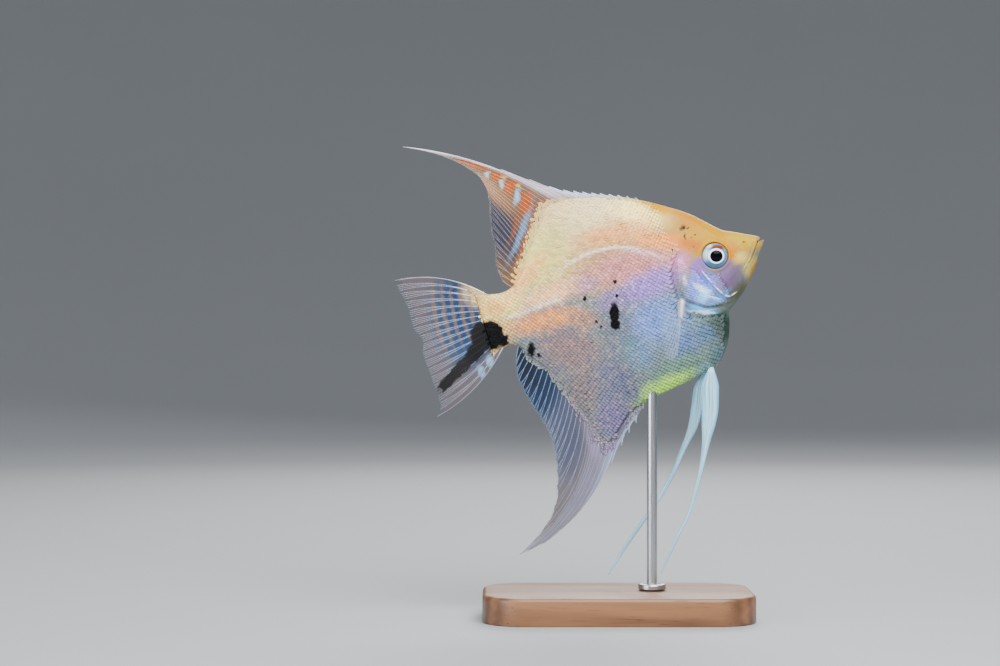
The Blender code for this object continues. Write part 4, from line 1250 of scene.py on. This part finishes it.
back_fin_colours = paint_fin(
    "back fin colours", (112, 84, 60),
    [(20, 6, 26, 30, 0, 0.6, (190, 196, 232), 1.0),
     (42, 30, 7, 44, 0, 0.7, (222, 206, 222), 0.9),
     (50, 46, 14, 16, 0, 0.8, (226, 232, 246), 0.9),
     (84, 14, 18, 18, 0, 0.7, (34, 44, 66), 0.9),
     (74, 25, 10, 8, 0, 0.7, (72, 66, 66), 0.9),
     (66, 19, 12, 12, 0, 0.8, (168, 118, 74), 0.8),
     (70, 2.8, 34, 1.6, 0, 0.8, (168, 82, 10), 0.85),
     (72, 5.4, 26, 1.5, 0, 0.8, (118, 150, 190), 0.85),
     (72, 7.9, 20, 1.4, 0, 0.9, (140, 70, 30), 0.8),
     (57, 7.0, 10, 3.0, 0, 0.7, (172, 78, 0), 1.0),
     (57, 10.2, 9, 1.3, 0, 0.8, (160, 190, 214), 0.9),
     (54, 13.2, 9, 2.6, 0, 0.7, (174, 80, 0), 1.0),
     (55, 15.6, 6, 1.2, 0, 0.8, (176, 200, 214), 0.95),
     (51, 17.9, 7, 2.4, 0, 0.7, (176, 84, 0), 1.0),
     (53, 20.4, 5, 1.1, 0, 0.8, (196, 204, 206), 0.9),
     (49, 25.5, 4.2, 6.5, 0, 0.7, (180, 88, 0), 1.0),
     (50, 11.5, 2.5, 1.0, 0, 0.8, (222, 176, 60), 0.9),
     (49, 16.4, 2.0, 1.0, 0, 0.8, (222, 176, 60), 0.9)],
    0.74,
    [(30, 6, 30, 30, 0, 0.5, 0.94, 1.0), (55, 8, 14, 26, 0, 0.6, 0.94, 1.0),
     (88, 12, 14, 14, 0, 0.6, 0.84, 1.0), (70, 31, 30, 7, 0, 0.8, 0.55, 1.0),
     (60, 2, 60, 3, 0, 0.6, 0.96, 1.0)])
back_fin_web = make_web("back_fin_web", back_fin, back_fin_shares,
                        lambda u: np.where(u < 0.41, 0.86, 0.975), lambda u: np.where(u < 0.41, 0.10, 0.03),
                        web_finish("back fin skin", back_fin_colours, 0.86))
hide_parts("dorsal_fin")
back_fin_rays = make_rays(
    "back_fin_rays", back_fin, back_fin_shares, lambda u: 0.995,
    lambda u, run: np.where(u < 0.41, 0.20 * np.exp(-run / 16.0) + 0.02, 0.12 * np.exp(-run / 26.0) + 0.05),
    lambda u: [] if u < 0.45 else [0.42, 0.70],
    ray_finish("back fin rays", back_fin_colours, (190, 180, 180), 0.10), 21)
lay_fin_scales("back_fin_scales", back_fin, 0.02, 0.98,
               smooth([(0.0, 0.6), (0.4, 1.4), (0.6, 2.6), (1.0, 1.8)]), 0.52, 31)

# ---- The belly fin: a mirror of the back fin, deeper and bluer ----
# Six graded spines lead, with blue skin lobes behind each, then soft rays that sweep back
# to a long lavender point. Its web is deep blue at the base and clear brown outwards.
# (share of the base, distance behind the snout and height of the ray tip, bow forwards)
belly_fin_rows = [(0.0, 46.7, -37.1, 0.0), (0.05, 49.8, -40.4, 0.0), (0.10, 52.6, -42.6, -0.02),
                  (0.15, 55.9, -45.6, -0.03), (0.20, 60.2, -49.6, -0.03), (0.25, 66.2, -55.2, -0.04),
                  (0.29, 76.2, -62.0, -0.075), (0.33, 87.5, -66.4, -0.105), (0.38, 93.6, -67.1, -0.12),
                  (0.43, 90.0, -65.3, -0.12), (0.47, 84.5, -61.7, -0.11), (0.50, 80.0, -57.0, -0.09),
                  (0.53, 77.4, -51.4, -0.07), (0.57, 75.8, -46.0, -0.05), (0.62, 74.9, -41.0, -0.04),
                  (0.68, 74.8, -36.3, -0.03), (0.75, 75.9, -31.5, -0.03), (0.82, 77.3, -26.2, -0.02),
                  (0.87, 78.3, -21.5, -0.02), (0.91, 78.7, -18.3, -0.01), (0.96, 78.2, -14.5, 0.0),
                  (1.0, 77.2, -11.6, 0.0)]
tip_b, tip_h, bow = columns_of(belly_fin_rows)
belly_fin_shares = spread_shares([(0.0, 0.25, 6), (0.29, 1.0, 25)])
belly_fin = fan(edge_point(belly, 45.6, 75.9, root_sunk), lambda u, b=tip_b, h=tip_h: (b(u), h(u)), bow,
                lambda u, run: 0.7 * np.sin(run / 8.0 + 3.0 * u) * np.minimum(run / 10.0, 1.0))
belly_fin_colours = paint_fin(
    "belly fin colours", (104, 98, 104),
    [(16, 6, 20, 24, 0, 0.6, (148, 156, 190), 1.0),
     (36, 20, 11, 34, 0, 0.8, (120, 118, 142), 0.9),
     (84, 6, 32, 17, 0, 0.7, (20, 36, 62), 1.0),
     (60, 12, 18, 18, 0, 0.7, (66, 74, 100), 0.9),
     (94, 5, 16, 10, 0, 0.7, (10, 18, 32), 0.9),
     (40, 4, 14, 6, 0, 0.8, (140, 126, 164), 0.9),
     (54, 32, 26, 12, 0, 0.8, (92, 84, 84), 0.8),
     (40, 48, 16, 16, 0, 0.8, (112, 112, 124), 0.9),
     (38, 60, 14, 18, 0, 0.8, (48, 54, 66), 1.0)],
    0.72,
    [(80, 4, 40, 18, 0, 0.6, 0.95, 1.0), (20, 4, 26, 20, 0, 0.6, 0.92, 1.0),
     (45, 12, 16, 22, 0, 0.7, 0.88, 1.0), (60, 2, 60, 3, 0, 0.6, 0.96, 1.0),
     (50, 44, 30, 18, 0, 0.8, 0.66, 1.0), (38, 60, 24, 18, 0, 0.8, 0.45, 1.0)])
belly_fin_web = make_web("belly_fin_web", belly_fin, belly_fin_shares,
                         lambda u: np.where(u < 0.26, 0.80, 0.975), lambda u: np.where(u < 0.26, 0.14, 0.03),
                         web_finish("belly fin skin", belly_fin_colours, 0.84))
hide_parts("anal_fin")
belly_ray_colours = paint_fin(
    "belly ray colours", (118, 104, 110),
    [(84, 6, 32, 18, 0, 0.7, (58, 98, 142), 1.0),
     (55, 16, 22, 22, 0, 0.8, (98, 112, 142), 0.8),
     (16, 8, 22, 26, 0, 0.7, (150, 164, 200), 1.0),
     (38, 3, 18, 5, 0, 0.8, (150, 128, 168), 0.9),
     (38, 30, 8, 30, 0, 0.8, (116, 126, 146), 0.8),
     (38, 60, 14, 20, 0, 0.8, (56, 68, 84), 1.0)], 1.0, [])
belly_fin_rays = make_rays(
    "belly_fin_rays", belly_fin, belly_fin_shares, lambda u: 0.995,
    lambda u, run: np.where(u < 0.26, 0.20 * np.exp(-run / 14.0) + 0.02, 0.11 * np.exp(-run / 26.0) + 0.05),
    lambda u: [] if u < 0.27 else [0.52, 0.80],
    ray_finish("belly fin rays", belly_ray_colours, (190, 210, 236), 0.08), 22)
lay_fin_scales("belly_fin_scales", belly_fin, 0.02, 0.99,
               smooth([(0.0, 1.2), (0.2, 2.2), (0.4, 3.4), (0.6, 2.4), (0.8, 1.4), (1.0, 0.6)]), 0.55, 32)

# ---- The tail fin: a fan of branched rays with faint bars ----
# Pale blue rays over a dark blue web, cream at the top of the root, smoky and clear at the
# ragged rear edge. A black blotch at the root runs on as a band to the lower edge.
tail_root_behind = 80.2
tail_rows = [(0.0, 105.0, 19.4), (0.08, 104.6, 16.3), (0.20, 103.4, 11.0), (0.35, 103.6, 4.6),
             (0.45, 101.9, 0.4), (0.55, 103.1, -3.4), (0.80, 102.6, -13.4), (0.93, 102.6, -19.0),
             (1.0, 104.6, -21.9)]
tip_b, tip_h = columns_of(tail_rows)
tail_ink = [(84.6, -3.6, 4.6, 5.2, 0, 0.3), (88.4, -7.4, 4.4, 2.7, -32, 0.3),
            (93.5, -10.4, 6.5, 2.1, -28, 0.3), (99.0, -13.4, 5.0, 1.9, -30, 0.35)]
tail_bar_runs = (3.4, 6.0, 8.6, 11.2, 13.8, 16.4)
tail_shares = spread_shares([(0.0, 1.0, 17)])
tail_fin = fan(lambda u: (tail_root_behind + 0.0 * u, 7.5 - 15.7 * u),
               lambda u, b=tip_b, h=tip_h: (b(u), h(u)), lambda u: 0.10 - 0.18 * u,
               lambda u, run: 0.8 * np.sin(run / 9.0 + 2.0 * u) * np.minimum(run / 12.0, 1.0))
tail_colours = paint_fin(
    "tail fin colours", (92, 84, 90),
    [(40, 9, 60, 11, 0, 0.5, (40, 62, 96), 1.0),
     (30, 7, 46, 9, 0, 0.6, (24, 52, 92), 0.9),
     (10, 3, 24, 7, 0, 0.8, (232, 206, 160), 1.0),
     (50, 1, 60, 2.4, 0, 0.7, (150, 150, 150), 0.8),
     (94, 8, 12, 16, 0, 0.7, (96, 88, 92), 0.9),
     (93, 6, 9, 1.8, 0, 0.6, (140, 184, 214), 0.9),
     (93, 10, 9, 1.6, 0, 0.6, (130, 176, 210), 0.8),
     *[(34, run, 44, 0.9, 0, 0.7, (122, 98, 82), 0.7) for run in tail_bar_runs]],
    0.78,
    [(50, 5, 70, 14, 0, 0.5, 0.95, 1.0), (50, 25, 60, 4, 0, 0.8, 0.62, 1.0)], tail_ink)
tail_web = make_web("tail_fin_web", tail_fin, tail_shares, lambda u: 0.965 + 0.0 * u,
                    lambda u: 0.05 + 0.0 * u, web_finish("tail fin skin", tail_colours, 0.84), steps=10)
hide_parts("caudal_fin")
tail_ray_colours = paint_fin(
    "tail ray colours", (122, 118, 134),
    [(40, 9, 70, 13, 0, 0.6, (72, 128, 178), 1.0),
     (8, 4, 24, 8, 0, 0.8, (246, 226, 182), 1.0),
     (50, 1, 70, 3, 0, 0.7, (206, 214, 226), 0.8),
     *[(34, run, 44, 0.9, 0, 0.7, (150, 122, 104), 0.8) for run in tail_bar_runs]],
    1.0, [], tail_ink)
tail_rays = make_rays(
    "tail_fin_rays", tail_fin, tail_shares, lambda u: 0.995,
    lambda u, run: 0.17 * np.exp(-run / 20.0) + 0.05,
    lambda u: [] if u < 0.02 or u > 0.98 else [0.26, 0.56],
    ray_finish("tail fin rays", tail_ray_colours, (170, 196, 222), 0.10), 23)
lay_fin_scales("tail_fin_scales", tail_fin, 0.03, 0.97,
               smooth([(0.0, 4.6), (0.25, 3.0), (0.6, 2.8), (1.0, 3.8)]), 0.5, 33)

# ---- The breast fins: clear rounded paddles ----
# Eleven fine rays in a web as clear as glass, each fin hinged on a short white fleshy arm
# behind the gill cover and swung well out, so that from the side it shows nearly edge-on.
breast_root_top = (28.0, -9.8)
breast_root_low = (29.6, -16.4)
breast_swing = math.radians(72.0)
breast_stand_off = 0.55
breast_length = smooth([(0.0, 13.5), (0.35, 18.5), (0.6, 18.0), (0.85, 14.5), (1.0, 10.5)])
breast_colours = paint_fin("breast fin colours", (190, 214, 236),
                           [(50, 0, 70, 4, 0, 0.8, (236, 238, 240), 1.0)], 0.04,
                           [(50, 0, 80, 4, 0, 0.9, 0.30, 1.0)])
breast_web_finish = web_finish("breast fin skin", breast_colours, 0.92)
breast_ray_finish = ray_finish("breast fin rays", breast_colours, (216, 230, 244), 0.4, 0.12)


def plain_half_width(behind, height):
    """Half-width of the plain body form at a place on its lower flank."""
    level = widest(behind)
    sine = np.sqrt(1.0 - ((height - level) / (belly(behind) - level)) ** 2)
    return (half_width(behind) - edge_half) * sine ** belly_keel(behind) + edge_half * np.sqrt(sine)


def breast_root(u):
    """A share of the way down the fleshy arm that carries the fin."""
    return (breast_root_top[0] + (breast_root_low[0] - breast_root_top[0]) * u,
            breast_root_top[1] + (breast_root_low[1] - breast_root_top[1]) * u)


def breast_tip(u):
    """Where each ray would end if the fin lay flat: the rays fan from level to well down."""
    dip = np.radians(50.0 * u - 6.0)
    behind, height = breast_root(u)
    return behind + breast_length(u) * np.cos(dip), height - breast_length(u) * np.sin(dip)


out_top = float(plain_half_width(*breast_root_top)) + breast_stand_off
out_low = float(plain_half_width(*breast_root_low)) + breast_stand_off
for side, word in ((-1.0, "right"), (1.0, "left")):
    breast_fin = fan(breast_root, breast_tip, lambda u: 0.02 + 0.0 * u,
                     lambda u, run, side=side: side * (out_top + (out_low - out_top) * u - run * run * 0.006))
    shares = spread_shares([(0.0, 1.0, 11)])
    web = make_web("breast_fin_web_" + word, breast_fin, shares, lambda u: 0.975 + 0.0 * u,
                   lambda u: 0.02 + 0.0 * u, breast_web_finish, rows=30, start=-0.09)
    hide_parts("pectoral_fin_" + word)
    rays = make_rays("breast_fin_rays_" + word, breast_fin, shares, lambda u: 0.99,
                     lambda u, run: 0.13 * np.exp(-run / 14.0) + 0.03,
                     lambda u: [] if u < 0.05 or u > 0.95 else [0.55], breast_ray_finish, 24, stations=16)
    hinge = Vector(place(breast_root_top[0], side * out_top, breast_root_top[1]))
    hinge_line = Vector(place(breast_root_low[0], side * out_low, breast_root_low[1])) - hinge
    swing = (Matrix.Translation(hinge) @ Matrix.Rotation(side * breast_swing, 4, hinge_line)
             @ Matrix.Translation(-hinge))
    for piece in (web, rays):
        piece.data.transform(swing)

# ---- The feelers: silky breast fins drawn out to long threads ----
# A short hard ray and a few soft ones lie side by side in a narrow web that thins to a
# single thread, white with a cold blue cast, ribbed along its length.
feeler_routes = {
    "right": ([(24.9, -32.6), (26.6, -36.9), (28.6, -43.0), (31.7, -49.9), (34.9, -56.2),
               (38.5, -62.3), (42.8, -68.9), (47.8, -74.3), (52.4, -79.4), (55.8, -83.3)],
              [(0.0, 2.6), (4.5, 5.2), (10.0, 4.9), (15.0, 4.0), (19.0, 2.7), (23.0, 1.85),
               (30.0, 1.2), (40.0, 0.9), (60.0, 0.65)], lambda r: 2.0 + 5.2 * (1 - np.exp(-r / 28.0))),
    "left": ([(27.4, -33.6), (29.3, -36.6), (31.3, -41.3), (34.1, -46.5), (38.6, -52.0),
              (43.5, -57.9), (49.6, -63.8), (56.3, -69.1), (63.8, -75.1), (70.1, -80.8)],
             [(0.0, 2.2), (4.0, 3.4), (9.0, 3.4), (14.0, 2.9), (18.5, 2.0), (24.0, 1.6),
              (32.0, 1.3), (45.0, 1.1), (65.0, 0.7)], lambda r: 2.0 + 5.6 * (1 - np.exp(-r / 22.0)))}


def make_feeler(name, side, route, widths, splay, finish):
    """A ribbed ribbon along a smooth route, closed at both ends."""
    legs = np.hypot(*np.diff(np.array(route), axis=0).T)
    run = np.concatenate(([0.0], np.cumsum(legs)))
    centre_b = smooth([(r, p[0]) for r, p in zip(run, route)])
    centre_h = smooth([(r, p[1]) for r, p in zip(run, route)])
    width = smooth(widths)
    stations, around, ribs = 190, 64, 7
    sunk = 2.8
    r = np.linspace(-sunk, run[-1], stations)
    ahead_b = centre_b(r + 0.2) - centre_b(r - 0.2)
    ahead_h = centre_h(r + 0.2) - centre_h(r - 0.2)
    low = r < 0.3
    ahead_b[low], ahead_h[low] = ahead_b[~low][0], ahead_h[~low][0]
    length = np.hypot(ahead_b, ahead_h)
    b = centre_b(np.maximum(r, 0.0)) + np.minimum(r, 0.0) * ahead_b / length
    h = centre_h(np.maximum(r, 0.0)) + np.minimum(r, 0.0) * ahead_h / length
    half = width(np.maximum(r, 0.0)) / 2
    half = half * (1.0 - 0.55 * step(r, run[-1] - 6.0, run[-1])) * (0.35 + 0.65 * step(r, -sunk, 1.0))
    angle = round_angles(around)
    offset = half[:, None] * np.cos(angle)[None, :]
    core = np.minimum(half, 0.16 + 0.22 * np.exp(-np.maximum(r, 0.0) / 9.0))
    rib = 0.5 + 0.5 * np.cos(math.pi * ribs * np.cos(angle))
    thick = core[:, None] * np.sin(angle)[None, :] * (0.62 + 0.38 * rib[None, :])
    curl = 0.22 * np.sin(r / 5.0)[:, None] * np.cos(angle)[None, :] * np.minimum(half, 1.0)[:, None]
    spread = splay(np.maximum(r, 0.0)) + 0.55 * np.minimum(r, 0.0)
    out = side * spread[:, None] + thick + curl
    across_b, across_h = -ahead_h / length, ahead_b / length
    points = place(b[:, None] + across_b[:, None] * offset, out, h[:, None] + across_h[:, None] * offset)
    feeler = piece_from(name, points.reshape(-1, 3), tube_faces(stations, around), finish)
    face_outwards(feeler)
    give_fin_pattern(feeler, np.tile(0.5 + 0.5 * np.cos(angle), stations), np.repeat(r, around))
    return feeler


feeler_finish, tree, shader = new_finish("silk feeler")
uv = node(tree, "UVMap", uv_map="fin").outputs["UV"]
strands = node(tree, "TexNoise", {"Vector": stretched(tree, uv, (26.0, 7.0, 1.0)), "Scale": 1.0,
                                  "Detail": 3.0}).outputs["Fac"]
silk = ramp(tree, strands, (52, 116, 152), (172, 222, 240), 0.30, 0.60)
# painted shade: the ribbon turns darker blue towards its two edges, where its surface turns away
off_middle = sum_of(tree, "ABSOLUTE", sum_of(tree, "SUBTRACT", one_part(tree, uv), 0.5))
edges = ranged(tree, off_middle, 0.0, 0.75, 0.30, 0.5)
feed(tree, shader, {"Base Color": mixed(tree, edges, silk, paint(34, 104, 146)),
                    "Roughness": ranged(tree, strands, 0.42, 0.24)})
bumped(tree, shader, strands, 0.4, 0.00008)
shader.inputs["Coat Weight"].default_value = 0.3
for word, side in (("right", -1.0), ("left", 1.0)):
    feeler = make_feeler("feeler_" + word, side, *feeler_routes[word], feeler_finish)
    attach(feeler, "root")
    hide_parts("pelvic_fin_" + word)

# ---- The base: a walnut plate with rounded corners ----
# Sawn walnut, its top edge eased with a small round, oiled to a satin finish. The rod
# stands in a blind hole under a turned collar.
base_low, base_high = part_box("stand_base")
corner_radius = 12.0
eased_edge = 1.2
foot_edge = 0.4


def bevel_edges(piece, wanted, width, segments):
    """In edit mode, rounds the edges for which wanted() is true; width is in millimetres."""
    bpy.ops.mesh.select_all(action="DESELECT")
    bm = bmesh.from_edit_mesh(piece.data)
    for edge in bm.edges:
        edge.select = wanted(edge)
    bmesh.update_edit_mesh(piece.data)
    bpy.ops.mesh.bevel(offset=width * mm, segments=segments, profile=0.5)


def is_upright(edge):
    """True for an edge that stands on end."""
    along = edge.verts[0].co - edge.verts[1].co
    return abs(along.z) > 0.9 * along.length


def make_base(finish):
    """A block with four round corners, its top edge eased and its foot edge just broken."""
    bpy.ops.object.select_all(action="DESELECT")
    bpy.ops.mesh.primitive_cube_add(size=1.0, location=(base_low + base_high) / 2)
    base = bpy.context.object
    base.name = "walnut_base"
    base.scale = base_high - base_low
    bpy.ops.object.transform_apply(location=True, rotation=True, scale=True)
    bpy.ops.object.mode_set(mode="EDIT")
    bevel_edges(base, is_upright, corner_radius, 20)
    bevel_edges(base, lambda edge: all(v.co.z > base_high.z - 1e-6 for v in edge.verts), eased_edge, 5)
    bevel_edges(base, lambda edge: all(v.co.z < base_low.z + 1e-6 for v in edge.verts), foot_edge, 2)
    bpy.ops.object.mode_set(mode="OBJECT")
    bpy.ops.object.shade_smooth_by_angle(angle=math.radians(40.0))
    base.data.materials.append(finish)
    return base


walnut, tree, shader = new_finish("oiled walnut")
on_wood = own_places(tree)
figure = node(tree, "TexNoise", {"Vector": stretched(tree, on_wood, (14.0, 160.0, 160.0), (0.0, 0.03, 0.05)),
                                 "Scale": 1.0, "Detail": 6.0, "Distortion": 0.8}).outputs["Fac"]
rings = node(tree, "TexWave", {"Vector": stretched(tree, on_wood, (4.0, 30.0, 60.0)), "Scale": 2.6,
                               "Distortion": 5.0, "Detail": 3.0}, bands_direction="Y").outputs["Fac"]
pores = node(tree, "TexNoise", {"Vector": stretched(tree, on_wood, (120.0, 2400.0, 2400.0)), "Scale": 1.0,
                                "Detail": 2.0}).outputs["Fac"]
wood = ramp(tree, figure, (64, 40, 27), (132, 90, 60), 0.32, 0.68)
wood = mixed(tree, 0.35, wood, mixed(tree, rings, paint(58, 36, 24), paint(150, 106, 72)))
wood = mixed(tree, ranged(tree, pores, 0.0, 0.6, 0.62, 0.72), wood, paint(38, 24, 16))
feed(tree, shader, {"Base Color": wood, "Roughness": ranged(tree, figure, 0.30, 0.52)})
bumped(tree, shader, pores, 0.2, 0.00006)
base = make_base(walnut)
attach(base, "root")
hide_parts("stand_base")

# ---- The rod: brushed steel with a turned collar ----
# A drawn steel rod, brushed along its length, pressed up into the belly and down through
# a collar that was turned with a rounded rim and a foot groove.
rod_low, rod_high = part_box("stand_rod")
rod_x = (rod_low.x + rod_high.x) / 2 / mm
rod_radius = 1.5
collar_radius = 4.0
collar_height = 1.6
foot_clearance = 0.3
rim_round = 0.5
tip_round = 0.3


def make_rod(finish):
    """The rod and its collar as one profile turned about the rod's axis."""
    top = rod_high.z / mm
    foot = rod_low.z / mm
    deck = base_high.z / mm + foot_clearance
    rim = deck + collar_height
    arc = [math.radians(90.0 * k / 6) for k in range(7)]
    profile = [(0.0, foot), (rod_radius, foot), (rod_radius, deck), (collar_radius - 0.25, deck),
               (collar_radius, deck + 0.25)]
    profile += [(collar_radius - rim_round * (1 - math.cos(a)), rim - rim_round * (1 - math.sin(a)))
                for a in arc]
    profile += [(2.5, rim), (2.3, rim - 0.2), (2.1, rim), (rod_radius + 0.15, rim), (rod_radius, rim + 0.15)]
    profile += [(rod_radius - tip_round * (1 - math.cos(a)), top - tip_round * (1 - math.sin(a)))
                for a in arc]
    profile.append((0.0, top))
    mesh = bpy.data.meshes.new("steel_rod")
    mesh.from_pydata([(r * mm, 0.0, z * mm) for r, z in profile],
                     [(i, i + 1) for i in range(len(profile) - 1)], [])
    rod = bpy.data.objects.new("steel_rod", mesh)
    bpy.context.scene.collection.objects.link(rod)
    bpy.ops.object.select_all(action="DESELECT")
    bpy.context.view_layer.objects.active = rod
    rod.select_set(True)
    bpy.ops.object.mode_set(mode="EDIT")
    bpy.ops.mesh.select_all(action="SELECT")
    bpy.ops.mesh.spin(steps=64, angle=2.0 * math.pi, center=(0.0, 0.0, 0.0), axis=(0.0, 0.0, 1.0))
    bpy.ops.mesh.select_all(action="SELECT")
    bpy.ops.mesh.remove_doubles(threshold=1e-6)
    bpy.ops.mesh.normals_make_consistent(inside=False)
    bpy.ops.object.mode_set(mode="OBJECT")
    rod.location = (rod_x * mm, 0.0, 0.0)
    bpy.ops.object.transform_apply(location=True, rotation=True, scale=True)
    bpy.ops.object.shade_smooth_by_angle(angle=math.radians(35.0))
    rod.data.materials.append(finish)
    return rod


steel, tree, shader = new_finish("brushed steel")
brushed = node(tree, "TexNoise", {"Vector": stretched(tree, own_places(tree), (6000.0, 6000.0, 160.0)),
                                  "Scale": 1.0, "Detail": 2.0}).outputs["Fac"]
feed(tree, shader, {"Base Color": mixed(tree, brushed, paint(168, 170, 174), paint(214, 216, 219)),
                    "Roughness": ranged(tree, brushed, 0.22, 0.40)})
shader.inputs["Metallic"].default_value = 1.0
bumped(tree, shader, brushed, 0.15, 0.00002)
rod = make_rod(steel)
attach(rod, "root")
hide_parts("stand_rod")
